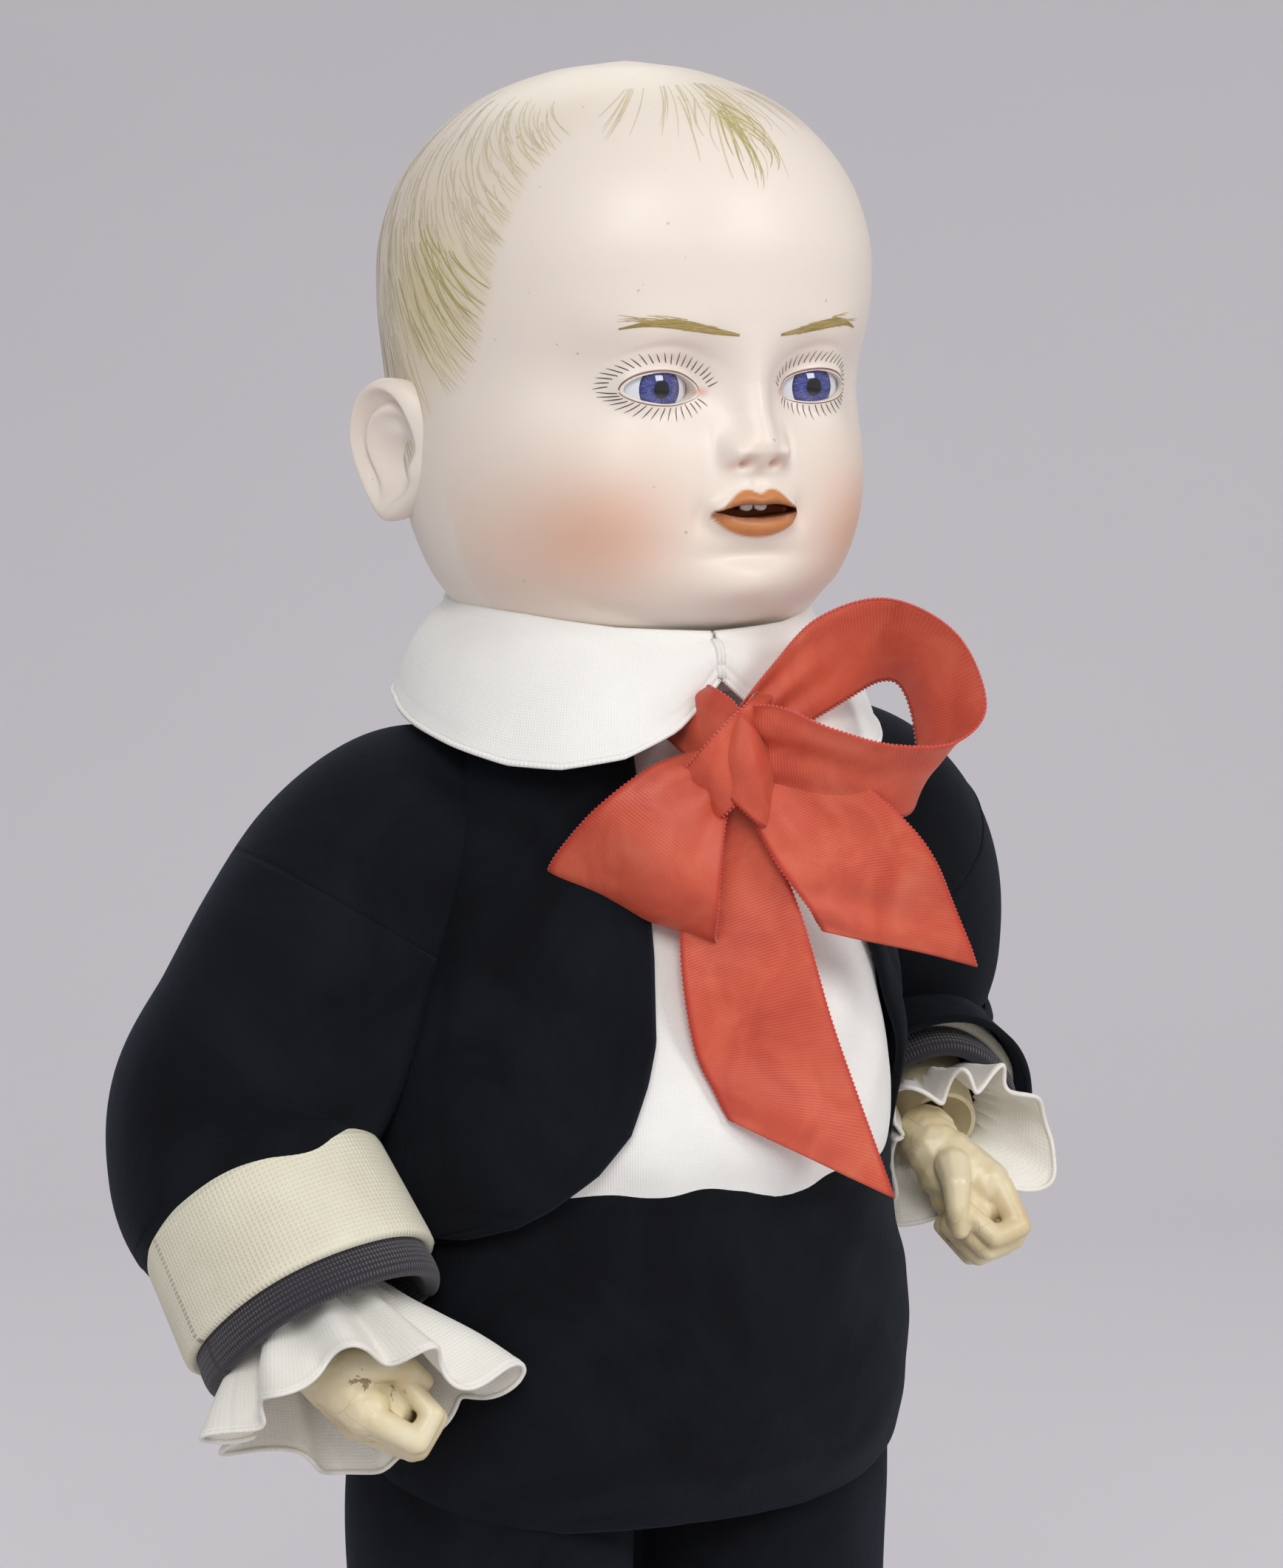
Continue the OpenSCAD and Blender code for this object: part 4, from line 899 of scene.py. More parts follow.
def hair():
    """Painted locks: fine strokes combed down from the crown and forward at the temples."""
    soft, sw, dark, dw = [], [], [], []
    for s in (-1, 1):
        for _ in range(1100):
            th = rnd.uniform(58, 178)
            z = rnd.uniform(hairline(th) + 4, 126)
            if z > 112 and rnd.random() < 0.45:
                continue
            ln = rnd.uniform(9, 17)
            fwd = 26 * math.exp(-((th - 62) / 30) ** 2) + 5
            path = []
            for q in range(9):
                u = q / 8
                zz = z - ln * (u - 0.25 * u * u)
                tt = th - fwd * (u ** 1.5) * 0.5 - 1.5 * math.sin(3 * u)
                if zz < hairline(tt) - 1:
                    break
                path.append(skull_ray(s * tt, zz))
            if len(path) < 5:
                continue
            if bell(th - 88, 17) * bell(z - 90, 14) > rnd.uniform(0.35, 1.6):
                dark.append(path)
                dw.append(rnd.uniform(0.2, 0.42))
            else:
                soft.append(path)
                sw.append(rnd.uniform(0.14, 0.26))
    # forelock: a small swirl at the middle of the hairline, with thin ends down the brow
    for k in range(34):
        off = rnd.gauss(0, 1)
        th0, z0 = -1 + 7.0 * off * 0.7, 123 + rnd.uniform(-3, 1.5)
        ln, sw_ = rnd.uniform(7, 16), rnd.uniform(-9, 9) + 4
        path = [skull_ray(th0 + sw_ * math.sin(2.2 * q / 8), z0 - ln * q / 8) for q in range(9)]
        (dark if abs(off) < 0.6 else soft).append(path)
        (dw if abs(off) < 0.6 else sw).append(rnd.uniform(0.22, 0.42))
    for k in range(46):
        th0 = rnd.uniform(-34, 34)
        z0 = 127 - abs(th0) * 0.05
        ln = rnd.uniform(5, 11)
        soft.append([skull_ray(th0 + 0.25 * th0 * q / 8, z0 - ln * q / 8) for q in range(9)])
        sw.append(rnd.uniform(0.18, 0.28))
    strokes("hair_soft", soft, sw, hair_paint, 0.035)
    strokes("hair_lock", dark, dw, hair_dark, 0.045)


def ear(side):
    """A moulded ear: rim, groove, inner fold, bowl and lobe as one closed shell."""
    nr, na = 30, 96
    lean, tilt = math.radians(24), math.radians(17)
    front_v, back_v = [], []
    for i in range(nr + 1):
        r = i / nr
        for j in range(na):
            a = 2 * math.pi * j / na
            ca, sa = math.cos(a), math.sin(a)  # ca: back (+) to front (-), sa: up
            rx = 10.2 if sa > 0 else 10.2 - 3.4 * abs(sa) ** 1.5
            u = r * rx * ca * (1 + 0.06 * sa)
            v = r * (15.2 if sa > 0 else 15.6) * sa
            back = 0.5 + 0.5 * math.tanh(2.2 * (ca + 0.55 + 0.75 * max(0, sa)))
            lobe = max(0.0, -sa) ** 2.2
            h = 2.9 * bell(r - 0.86, 0.12) * (0.25 + 0.75 * back) * (1 - 0.65 * lobe)
            h -= 1.5 * bell(r - 0.70, 0.08) * back * (1 - lobe)
            h += 1.9 * bell(r - 0.53, 0.11) * max(0, min(1, 0.75 + ca * 1.2)) * (1 - lobe)
            du, dv = u + 1.6, v + 2.4
            h -= 4.6 * math.exp(-(du / 4.3) ** 2 - (dv / 5.6) ** 2)
            h -= 1.5 * math.exp(-((u + 0.5) / 3.0) ** 2 - ((v - 6.8) / 2.4) ** 2)
            h += 1.5 * math.exp(-((u + 7.4) / 1.9) ** 2 - ((v + 1.2) / 2.6) ** 2)
            h += 1.0 * lobe * bell(r - 0.6, 0.4)
            h -= 2.6 * max(0, r - 0.93) ** 2 * 120 * 0.5
            front_v.append((u, v, h + 2.6))
            back_v.append((u * 0.97, v * 0.97, -1.2 - 1.6 * (1 - r * r)))
    def place(u, v, h):
        y0, z0 = u * math.cos(tilt) - v * math.sin(tilt), v * math.cos(tilt) + u * math.sin(tilt)
        out = h * math.cos(lean) + (u + 7.5) * math.sin(lean) * (0.62 + 0.02 * v)
        return side * (47.2 + out), 7.5 + y0 * math.cos(lean) + 0.3 * h, 52.8 + z0
    v = [place(*q) for q in front_v] + [place(*q) for q in back_v]
    n1 = len(front_v)
    f = []
    for i in range(nr):
        for j in range(na):
            k = (j + 1) % na
            a, b, c, d = i * na + j, i * na + k, (i + 1) * na + k, (i + 1) * na + j
            if i == 0:
                f.append((a, c, d))
                f.append((n1 + a, n1 + d, n1 + c))
            else:
                f.append((a, b, c, d))
                f.append((n1 + a, n1 + d, n1 + c, n1 + b))
    for j in range(na):
        k = (j + 1) % na
        a, b = nr * na + j, nr * na + k
        f.append((a, b, n1 + b, n1 + a))
    for j in range(1, na):  # the centre ring is one point
        pass
    ob = mesh("ear_" + ("right" if side < 0 else "left"), H(v), f, bisque)
    bm = bmesh.new()
    bm.from_mesh(ob.data)
    bmesh.ops.remove_doubles(bm, verts=bm.verts, dist=0.00002)
    bmesh.ops.recalc_face_normals(bm, faces=bm.faces)
    bm.to_mesh(ob.data)
    bm.free()
    modifier(ob, "SUBSURF", levels=1, render_levels=1)
    bake(ob)
    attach(ob, "head")
    return ob


def make_plaster():
    """The setting that holds each glass eye in its socket, inside the head."""
    bits = []
    for s in (-1, 1):
        v = []
        for i in range(9):
            a = 2 * math.pi * i / 9
            for j in range(24):
                b = 2 * math.pi * j / 24
                r = 9.2 + 1.5 * math.cos(a) + 0.4 * nz(math.cos(b), math.sin(b), a, 1.7, s)
                v.append((s * EYE_X + r * math.cos(b), -30.2 + 1.5 * math.sin(a), EYE_Z + r * math.sin(b)))
        bits.append(mesh("eye_setting", H(v), grid_faces(9, 24, wrap_n=True, wrap_m=True), plaster))
        fix_normals(bits[-1])
    ob = join("eye_settings", bits)
    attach(ob, "head")
    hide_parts("eye_plaster")


make_plaster()
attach(head, "head")
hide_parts("head_shell")
for s_ in (-1, 1):
    ear(s_)
lashes()
lid_lines()
brows()
hair()


def mouth_parts():
    """The dark lining behind the lips and two upper teeth."""
    v, f = [], []
    n, m = 40, 10
    for i in range(m + 1):
        q = i / m
        for j in range(n):
            a = 2 * math.pi * j / n
            r = math.cos(q * 1.5)
            v.append((9.8 * r * math.cos(a), -46.0 + 5.5 * math.sin(q * 1.5),
                    LIP_Z + 0.3 + 4.6 * r * math.sin(a)))
    f = grid_faces(m + 1, n, wrap_n=True)
    lining = mesh("mouth_bowl", H(v), f, mouth_mat)
    modifier(lining, "SOLIDIFY", thickness=0.0012, offset=1)
    bake(lining)
    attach(lining, "head")
    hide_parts("mouth_lining")
    bits = []
    for s in (-1, 1):
        v, n = [], 20
        for i in range(9):
            q = i / 8
            zz = 44.2 - 2.9 * q
            w = 1.62 * (1 - 0.08 * q) * (1 if q < 0.8 else math.sqrt(max(0.05, 1 - ((q - 0.8) / 0.22) ** 2)))
            d = 0.75 * (1 - 0.3 * q)
            for j in range(n):
                a = 2 * math.pi * j / n
                v.append((s * 1.72 + w * np.sign(math.cos(a)) * abs(math.cos(a)) ** 0.7,
                          -47.6 + d * math.sin(a), zz))
        bits.append(mesh("tooth", H(v), grid_faces(9, n, wrap_n=True) + [tuple(range(n)),
                tuple(range(8 * n, 9 * n))[::-1]], tooth_mat))
        fix_normals(bits[-1])
    teeth = join("upper_teeth_pair", bits)
    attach(teeth, "head")
    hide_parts("upper_teeth")


mouth_parts()


# ---- Clothes: helpers in the body's own frame, millimetres from its axis ----
def L(p):
    p = np.asarray(p, float)
    return p + np.array([AX, AY, 0.0])


def row_at(rows, z):
    """Half width, front depth and back depth of a smooth body at height z."""
    t = ROW_CACHE.get(id(rows))
    if t is None:
        t = catmull(rows, 16)
        ROW_CACHE[id(rows)] = t
    return [np.interp(z, t[:, 0], t[:, i]) for i in (1, 2, 3)]


ROW_CACHE = {}


def body_r(rows, z, a, grow=0.0, p=2.25):
    """Distance from the axis of the body's skin at height z and angle a (rad, 0 = front, + = doll's left)."""
    w, f, b = row_at(rows, z)
    d = np.where(np.cos(a) > 0, f, b) + grow
    w = w + grow
    return (np.abs(np.sin(a) / w) ** p + np.abs(np.cos(a) / d) ** p) ** (-1 / p)


def cyl(r, a, z):
    return np.stack(np.broadcast_arrays(r * np.sin(a), -r * np.cos(a), z), -1)


SHIRT = [[255, 51.5, 44.6, 42], [262, 52.5, 46, 42.6], [271, 54.5, 49.5, 43.5], [280, 55.5, 52.4, 44.5], [290,
        55.2, 51.5, 44.6],
         [305, 54, 47.2, 42.5], [320, 53.2, 43.2, 40.5], [334, 50.5, 39, 38], [346, 43.5, 36.2, 36], [356, 37,
                 34, 34],
         [366, 32.5, 32.5, 33], [375, 30.5, 30.5, 31]]
JACKET = [[258, 59.2, 55.8, 49.8], [264, 59.4, 57, 49.2], [272, 58.9, 57, 48.8], [282, 58.5, 56.4, 48.4],
        [292, 58.3, 54.6, 47.6],
          [305, 57.4, 50.8, 45.8], [320, 56.4, 46.2, 43.6], [334, 55.8, 41.8, 41.2], [344, 54, 39.2, 39.4],
                  [352, 50.5, 37.4, 38],
          [359, 45, 36.2, 37], [365, 38.5, 35.4, 36]]
SEAT = [[199, 50, 33, 35], [203, 56, 38, 39.5], [212, 60.5, 45, 44.5], [228, 61.4, 50.3, 47.4], [245, 60,
        50.6, 47.4],
        [257, 57.4, 50, 46.4], [267, 56.4, 49.8, 45.8], [278, 55.6, 49.4, 45]]


def creases(a, z, amp, seed=0.0):
    """Soft drapery over a body surface."""
    out = np.zeros(np.broadcast(a, z).shape)
    aa, zz = np.broadcast_arrays(a, z)
    it = np.nditer([aa, zz, out], op_flags=[["readonly"], ["readonly"], ["writeonly"]])
    for p, q, o in it:
        p, q = float(p), float(q)
        o[...] = amp * (noise.noise(Vector((p * 2.2 + seed, q * 0.045,
                seed))) + 0.5 * noise.noise(Vector((p * 5 + seed, q * 0.11, 3 + seed))))
    return out


def open_sheet(name, P, mat, thick, body, inward=True, subdiv=0, wrap=False, uv_mm=None):
    """A cloth sheet from a grid of points, with real thickness."""
    m, n = P.shape[:2]
    du = np.concatenate([[0], np.cumsum(np.linalg.norm(np.diff(P[m // 2], axis=0), axis=1))])
    dv = np.concatenate([[0], np.cumsum(np.linalg.norm(np.diff(P[:, n // 2], axis=0), axis=1))])
    uv = np.stack([np.repeat(du[None, :], m, 0), np.repeat(dv[:, None], n, 1)], -1).reshape(-1, 2) * MM
    ob = mesh(name, P.reshape(-1, 3), grid_faces(m, n, wrap_n=wrap), mat, uv=uv)
    modifier(ob, "SOLIDIFY", thickness=thick * MM, offset=-1 if inward else 1, use_even_offset=False)
    if subdiv:
        modifier(ob, "SUBSURF", levels=subdiv, render_levels=subdiv)
    bake(ob)
    if body:
        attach(ob, body)
    return ob


def hem_tube(name, pts, r, mat, body, closed=False, seg=6):
    """A rolled or overcast edge along a line of points."""
    p = np.asarray(pts, float)
    if closed:
        t = np.roll(p, -1, 0) - np.roll(p, 1, 0)
    else:
        t = np.gradient(p, axis=0)
    t /= np.linalg.norm(t, axis=1)[:, None] + 1e-9
    u = np.cross(t, (0.3, 0.2, 1.0))
    u /= np.linalg.norm(u, axis=1)[:, None] + 1e-9
    b = np.cross(t, u)
    v = [p[i] + r * (u[i] * math.cos(a) + b[i] * math.sin(a)) for i in range(len(p)) for a in np.linspace(0,
            2 * math.pi, seg, endpoint=False)]
    fc = grid_faces(len(p), seg, wrap_n=True, wrap_m=closed)
    if not closed:
        fc += [tuple(range(seg))[::-1], tuple(range((len(p) - 1) * seg, len(p) * seg))]
    ob = mesh(name, v, fc, mat, uv=[(i * 0.001, 0) for i in range(len(p)) for _ in range(seg)])
    if body:
        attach(ob, body)
    return ob


def drill(ob, side, x0, r, z=334.0, length=34):
    """Armhole through a garment."""
    n = 64
    v = [L((side * (x0 + d), 2 + r * math.cos(t), z + r * math.sin(t)))
         for d in (0, length) for t in [2 * math.pi * i / n for i in range(n)]]
    c = mesh("drill", v, grid_faces(2, n, wrap_n=True) + [tuple(range(n))[::-1], tuple(range(n, 2 * n))],
            linen, smooth=False)
    fix_normals(c)
    cut(ob, [c])


def make_shirt():
    z = np.concatenate([np.linspace(255, 276, 24), np.linspace(277, 375, 70)])
    a = np.linspace(-math.pi, math.pi, 220, endpoint=False)
    Z, A = np.meshgrid(z, a, indexing="ij")
    blouse = 1.0 * bell(Z - 276, 14) * (0.5 + 0.5 * np.cos(A * 11 + 0.06 * Z))
    sag = 1.4 * bell(np.degrees(A) - 26 - (Z - 300) * 0.55, 9) * bell(Z - 303, 15)
    sag += 1.1 * bell(np.degrees(A) - 34 - (Z - 285) * 0.9, 7) * bell(Z - 288, 11)
    r = body_r(SHIRT, Z, A) + creases(A, Z, 0.75) * sstep(352, 330, Z) + blouse * 0.6 + sag
    ob = open_sheet("shirt", L(cyl(r, A, Z)), linen, 1.0, None, wrap=True)
    for s in (-1, 1):
        drill(ob, s, 34, 19.4)
    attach(ob, "torso")
    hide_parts("shirt_body")


make_shirt()

R_EDGE = [[261.5, 74], [262.6, 60], [266, 49], [270, 42], [277, 33], [285, 26.5], [295, 22.8], [303, 20.8],
        [320, 20.5], [345, 22], [365, 26]]
L_EDGE = [[261.5, 98], [262.5, 90], [266, 80], [280, 73], [296, 63], [320, 48], [345, 34], [365, 27]]


def make_jacket():
    z = np.concatenate([np.linspace(261.8, 271, 14), np.linspace(272.5, 365, 60)])
    k = np.linspace(0, 1, 200)
    lo = -np.radians(np.interp(z, *np.array(R_EDGE).T))
    hi = np.radians(np.interp(z, *np.array(L_EDGE).T))
    A = -(lo[:, None] * -1) * 0 + np.array([[-(2 * math.pi - hi_) + t * (lo_ - (-(2 * math.pi - hi_))) for t in k]
                                              for lo_, hi_ in zip(lo, hi)])
    Z = np.repeat(z[:, None], len(k), 1)
    r = body_r(JACKET, Z, A) + creases(A, Z, 0.55, 4.0) * sstep(256, 270, Z)
    # the hem and the front edges turn in a little, with the stitch line just inside them
    edge = np.minimum(np.abs(A - lo[:, None]), np.abs(A + 2 * math.pi - hi[:, None])) * r
    r = r + 0.5 * bell(edge - 3.2, 3.0) - 0.45 * bell(edge - 7.0, 0.7) - 0.9 * bell(edge, 1.2)
    r = r - 0.45 * bell(Z - 268.5, 0.7) - 0.7 * bell(Z - 261.8, 1.2)
    # folds that run to the armpits
    for s in (-1, 1):
        ad = np.degrees(A if s < 0 else A + 2 * math.pi)
        r = r + 1.5 * bell(ad - s * (62 + (330 - Z) * 0.12), 5) * bell(Z - 308, 16) \
            - 0.9 * bell(ad - s * (52 + (330 - Z) * 0.25), 5) * bell(Z - 306, 18)
    ob = open_sheet("jacket", L(cyl(r, A, Z)), velvet, 1.6, None)
    for s in (-1, 1):
        drill(ob, s, 38, 22.2, 337.5)
    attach(ob, "torso")
    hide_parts("jacket_body")


make_jacket()


def push_out(p, clear, rows=None, fade=(318, 300)):
    """Moves points in the body frame clear of the dressed body, lower down the sleeve."""
    x, y, z = p[..., 0], p[..., 1], p[..., 2]
    a = np.arctan2(x, -y)
    rj = np.where(z > 258, body_r(JACKET, np.clip(z, 258, 365), a), body_r(SEAT, np.clip(z, 199, 272),
            a) + 1.5)
    r = np.hypot(x, y)
    need = rj + clear
    w = sstep(fade[0], fade[1], z)
    nr = np.where(r < need, r + (need - r) * w, r)
    k = nr / np.maximum(r, 1e-6)
    return np.stack([x * k, y * k, z], -1)


def frames_along(path, up0):
    """Moving frames on a path, without twist."""
    t = np.gradient(path, axis=0)
    t /= np.linalg.norm(t, axis=1)[:, None]
    u = np.array(up0, float)
    us = []
    for d in t:
        u = unit(u - d * u.dot(d))
        us.append(u)
    us = np.array(us)
    return t, us, np.cross(t, us)


SLEEVE = {
    "right": dict(path=[(-40, 2, 342), (-50, 2.2, 340), (-60, 3, 331), (-68, 4.2, 317.5), (-76, 6.2, 301),
            (-83.5, 8.2, 286.5)],
                  rad=[20.5, 22.3, 24.2, 25.6, 26.6, 27.0], elbow_r=26.6, end_r=24.2),
    "left": dict(path=[(40, 2, 343), (51, 3, 343), (62, 6, 335.5), (71, 12, 325), (77, 20, 311), (80.5, 29,
            299)],
                 rad=[20.5, 22.5, 24.3, 25, 24.6, 23.8], elbow_r=23.6, end_r=24.4),
}


SLEEVE_SEAM_ROW = 38  # row of the sleeve where the armhole seam runs


def make_sleeve(side):
    s, d = SIDE[side], SLEEVE[side]
    e, w = EL[side] - AXIS, WR[side] - AXIS
    f = unit(w - e)
    run = (9, 16, 22.5) if side == "right" else (10, 26, 43)
    path = [np.array(p, float) for p in d["path"]] + [e + k * f for k in run]
    rad = d["rad"] + [d["elbow_r"], d["elbow_r"] - 0.8, d["end_r"]]
    pc = catmull([list(p) + [r] for p, r in zip(path, rad)], 16)
    path, rad = pc[:, :3], pc[:, 3]
    t, u, b = frames_along(path, (0, 0, 1))
    n = 120
    a = np.linspace(0, 2 * math.pi, n, endpoint=False)
    P = np.zeros((len(path), n, 3))
    bend = len(path) * 0.70
    for i in range(len(path)):
        q = i / len(path)
        for j, ang in enumerate(a):
            din = u[i] * math.cos(ang) + b[i] * math.sin(ang)
            r = rad[i]
            # drapery: long soft folds, and crumples in the crook of the elbow
            r += 1.3 * noise.noise(Vector((math.cos(ang) * 1.3 + s, math.sin(ang) * 1.3, q * 3.2))) * min(1,
                    q * 6)
            crook = bell(i - bend, 9) * bell(math.remainder(ang - CROOK[side], 2 * math.pi), 0.9)
            r += 1.3 * crook * math.sin(i * 0.75 + 2.0 * math.sin(ang)) - 1.5 * crook
            r += 0.8 * math.sin(3 * ang + 7 * q + s) * bell(q - 0.95, 0.16)
            P[i, j] = path[i] + din * r
    P = push_out(P, 0.9 if side == "right" else 1.0)
    k = SLEEVE_SEAM_ROW
    top = open_sheet(side + "_sleeve_cap", L(P[:k + 1]), velvet, 1.5, None, wrap=True,
            inward=INWARD[side])
    low = open_sheet(side + "_sleeve", L(P[k:]), velvet, 1.5, None, wrap=True, inward=INWARD[side])
    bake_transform(top)
    hem_tube(side + "_sleeve_seam", L(path[k] + (P[k] - path[k]) * 0.992), 0.5, velvet,
            side + "_upper_arm", closed=True)
    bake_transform(low)
    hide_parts(side + "_sleeve")
    # the sleeve's fourth ring, handed back; the rolled seam ridge where the sleeve is set in is the tube made above
    ring = P[3]
    return ring


CROOK = {"right": 2.9, "left": 2.6}
INWARD = {"right": False, "left": True}
for side_ in ("right", "left"):
    make_sleeve(side_)


def arm_frame(side):
    """Elbow, forearm direction and two cross directions, in the body frame."""
    e, w = EL[side] - AXIS, WR[side] - AXIS
    f = unit(w - e)
    out = np.array([SIDE[side], 0, 0.0])
    u = unit(out - f * out.dot(f))
    return e, w, f, u, np.cross(f, u)


def arm_tube(side, prof, n, wave=None, clear=None):
    """Surface round the forearm from (along from elbow, radius) rows."""
    e, w, f, u, b = arm_frame(side)
    a = np.linspace(0, 2 * math.pi, n, endpoint=False)
    P = np.zeros((len(prof), n, 3))
    for i, (t, r) in enumerate(prof):
        for j, ang in enumerate(a):
            rr, tt = (wave(i, t, r, ang) if wave else (r, t))
            P[i, j] = e + f * tt + (u * math.cos(ang) + b * math.sin(ang)) * rr
    if clear is not None:
        P = push_out(P, clear, fade=(360, 340))
    return P


def make_cuffs(side):
    s = SIDE[side]
    r0 = 25.6 if side == "right" else 18.6
    t0, t1 = (17.5, 42.5) if side == "right" else (19.5, 37.0)

    def tilt(i, t, r, ang):
        return r + 0.35 * math.sin(2 * ang + s) + 0.25 * math.sin(5 * ang), t + 1.2 * math.cos(ang + 0.6)

    prof = [(t0 + 0.6, r0 - 1.4), (t0, r0 - 0.5), (t0 + 0.5, r0 + 0.25), (t0 + 2, r0 + 0.5)]
    prof += [(t0 + 2 + k * (t1 - t0 - 4) / 14, r0 + 0.5 + 0.9 * k / 14) for k in range(1, 15)]
    prof += [(t1 - 0.5, r0 + 1.4), (t1, r0 + 0.9), (t1 - 0.4, r0 + 0.1), (t1 - 6, r0 - 0.3)]
    P = arm_tube(side, prof, 128, tilt, 0.7 if side == "right" else 2.8)
    cuff_side = open_sheet(side + "_cuff", L(P), cuff_linen, 0.8, side + "_forearm", wrap=True,
            inward=False)
    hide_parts(side + "_cuff_band")
    lr = r0 - 0.5
    prof = [(t1 - 8, lr - 0.4), (t1 + 0.5, lr - 0.2), (t1 + 3.5, lr + 0.2), (t1 + 6.2, lr + 0.1), (t1 + 7.4,
            lr - 0.7), (t1 + 7.2, lr - 1.8),
            (t1 + 5, lr - 2.4), (t1 - 6, lr - 2.4)]
    P = arm_tube(side, [tuple(q) for q in catmull(prof, 3)], 128, tilt, 1.3 if side == "right" else 3.4)
    lin = open_sheet(side + "_lining", L(P), knit, 0.7, side + "_forearm", wrap=True,
            inward=False)
    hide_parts(side + "_sleeve_lining")
    return cuff_side, lin


for side_ in ("right", "left"):
    make_cuffs(side_)

FRILL = {"right": dict(waves=9, spread=24.5, reach=27), "left": dict(waves=8, spread=17.5, reach=17)}


def make_frill(side):
    """A gathered muslin flounce, full at its rolled hem and pulled in at the wrist."""
    d = FRILL[side]
    e, w, f, u, b = arm_frame(side)
    n, m = 360, 34
    rs = random.Random(31 if side == "right" else 47)
    ph = [rs.uniform(0, 6.28) for _ in range(8)]
    P = np.zeros((m, n, 3))
    for i in range(m):
        q = i / (m - 1)
        for j in range(n):
            a = 2 * math.pi * j / n
            aw = a + 0.10 * math.sin(2 * a + ph[0]) + 0.06 * math.sin(3 * a + ph[1])
            fold = math.sin(d["waves"] * aw + 0.9 * math.sin(2 * a + ph[2]) + 1.1 * q * math.sin(3 * a + ph[3]))
            fold += 0.35 * math.sin(2.0 * d["waves"] * aw + ph[1]) * (1 - q) + 0.5 * noise.noise(Vector((3.2 * math.cos(a) + ph[0], 3.2 * math.sin(a), 2.2 * q)))
            fine = math.sin(31 * a + ph[4]) * bell(q - 0.12, 0.16)
            base = 9.5 + (d["spread"] - 9.5) * (q ** 0.85)
            amp = 0.5 + 4.4 * q ** 1.1 * (0.7 + 0.3 * math.sin(2 * a + ph[5]))
            r = base * (1 + 0.14 * math.sin(a * 2 + ph[6])) + amp * fold + 0.7 * fine
            tt = 40.5 + d["reach"] * q * (1 + 0.20 * math.sin(a + ph[7]) + 0.10 * math.sin(3 * a + ph[2])) + 1.5 * q * math.cos(d["waves"] * aw + 1.2)
            r += 0.35 * bell(q - 0.985, 0.02)
            P[i, j] = e + f * tt + (u * math.cos(a) + b * math.sin(a)) * r
    P = push_out(P, 1.6, fade=(380, 360))
    ob = open_sheet(side + "_flounce", L(P), muslin, 0.5, side + "_forearm", wrap=True,
            inward=False)
    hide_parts(side + "_frill")
    hem = hem_tube(side + "_flounce_hem", L(P[-1]), 0.55, muslin, side + "_forearm",
            closed=True)
    return ob, hem, P


FLOUNCE = {s: make_frill(s) for s in ("right", "left")}


# ---- Collar: two rounded halves that fold down from the neck ----
C_EDGE = [[0, 41.5, 375.5], [7, 43.5, 370.5], [15, 46.5, 365.5], [28, 50.2, 360.6], [42, 52.4, 358.6], [54,
        53.2, 359.2],
          [68, 53.4, 362.2], [84, 52.2, 366.0], [100, 49.5, 369.6], [120, 47.6, 371.0], [150, 47.2, 369],
                  [180, 47.0, 367]]
C_FOLD = [[0, 38.0, 384.6], [30, 38.2, 385.6], [60, 38.0, 388.0], [90, 37.4, 389.6], [130, 36.4, 391], [180,
        36, 391.5]]


def make_collar():
    obs = []
    for s in (-1, 1):
        deg = np.concatenate([np.linspace(0.6, 12, 12), np.linspace(14, 178, 84)])
        deg[-1] = 179.7
        er, ez = [np.interp(deg, np.array(C_EDGE)[:, 0], np.array(C_EDGE)[:, i]) for i in (1, 2)]
        fr, fz = [np.interp(deg, np.array(C_FOLD)[:, 0], np.array(C_FOLD)[:, i]) for i in (1, 2)]
        prof = []
        for q in np.linspace(0, 1, 8):  # the stand inside, rising to the fold
            prof.append((32.6 + (fr - 34.2) * q, 372 + (fz - 374.5) * q))
        for q in np.linspace(0.12, 1, 5):
            ang = math.pi * q
            prof.append((fr - 0.8 + 0.8 - 1.5 * math.cos(ang) * 0.8, fz - 1.6 + 1.7 * math.sin(ang)))
        for q in np.linspace(0.05, 1, 24):
            out = 1.9 * np.sin(math.pi * q) * 1.0
            prof.append((fr + 0.9 + (er - fr - 0.9) * q + out * 0.62,
                    fz - 1.6 + (ez - fz + 1.6) * q + out * 0.8))
        R = np.array([p[0] * np.ones_like(deg) for p in prof])
        Z = np.array([p[1] * np.ones_like(deg) for p in prof])
        A = np.repeat(np.radians(deg)[None, :] * s, len(prof), 0)
        q = np.clip((np.arange(len(prof)) - 12) / (len(prof) - 13), 0, 1)[:, None]
        R = R + creases(A, Z, 0.5, 9.0) * q
        # topstitching a little inside the edge
        dist = (1 - q) * np.hypot(er - fr, ez - fz)[None, :]
        R = R - 0.28 * bell(dist - 2.4, 0.5) * (q > 0) + 0.2 * bell(dist - 1.2, 0.9) * (q > 0)
        ob = open_sheet(("right" if s < 0 else "left") + "_collar_half", L(cyl(R, A, Z)), linen, 0.9,
                "torso", inward=(s < 0))
        if s < 0:
            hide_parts("shirt_collar")
        edge = L(cyl(R[-1], A[-1], Z[-1]))
        front = L(cyl(R[12:, 0], A[12:, 0], Z[12:, 0]))
        hem = hem_tube(("right" if s < 0 else "left") + "_collar_edge", np.vstack([front, edge[1:]]), 0.62,
                linen, "torso")
        cyl(R, A, Z)
        obs.append(ob)
    return obs


make_collar()


# ---- Bow of satin ribbon. X runs across the front as seen from the doll's right, T towards that side ----
def W(x, z, t):
    c, s = math.cos(math.radians(28)), math.sin(math.radians(28))
    return np.array([c * x - s * t, -s * x - c * t, z])


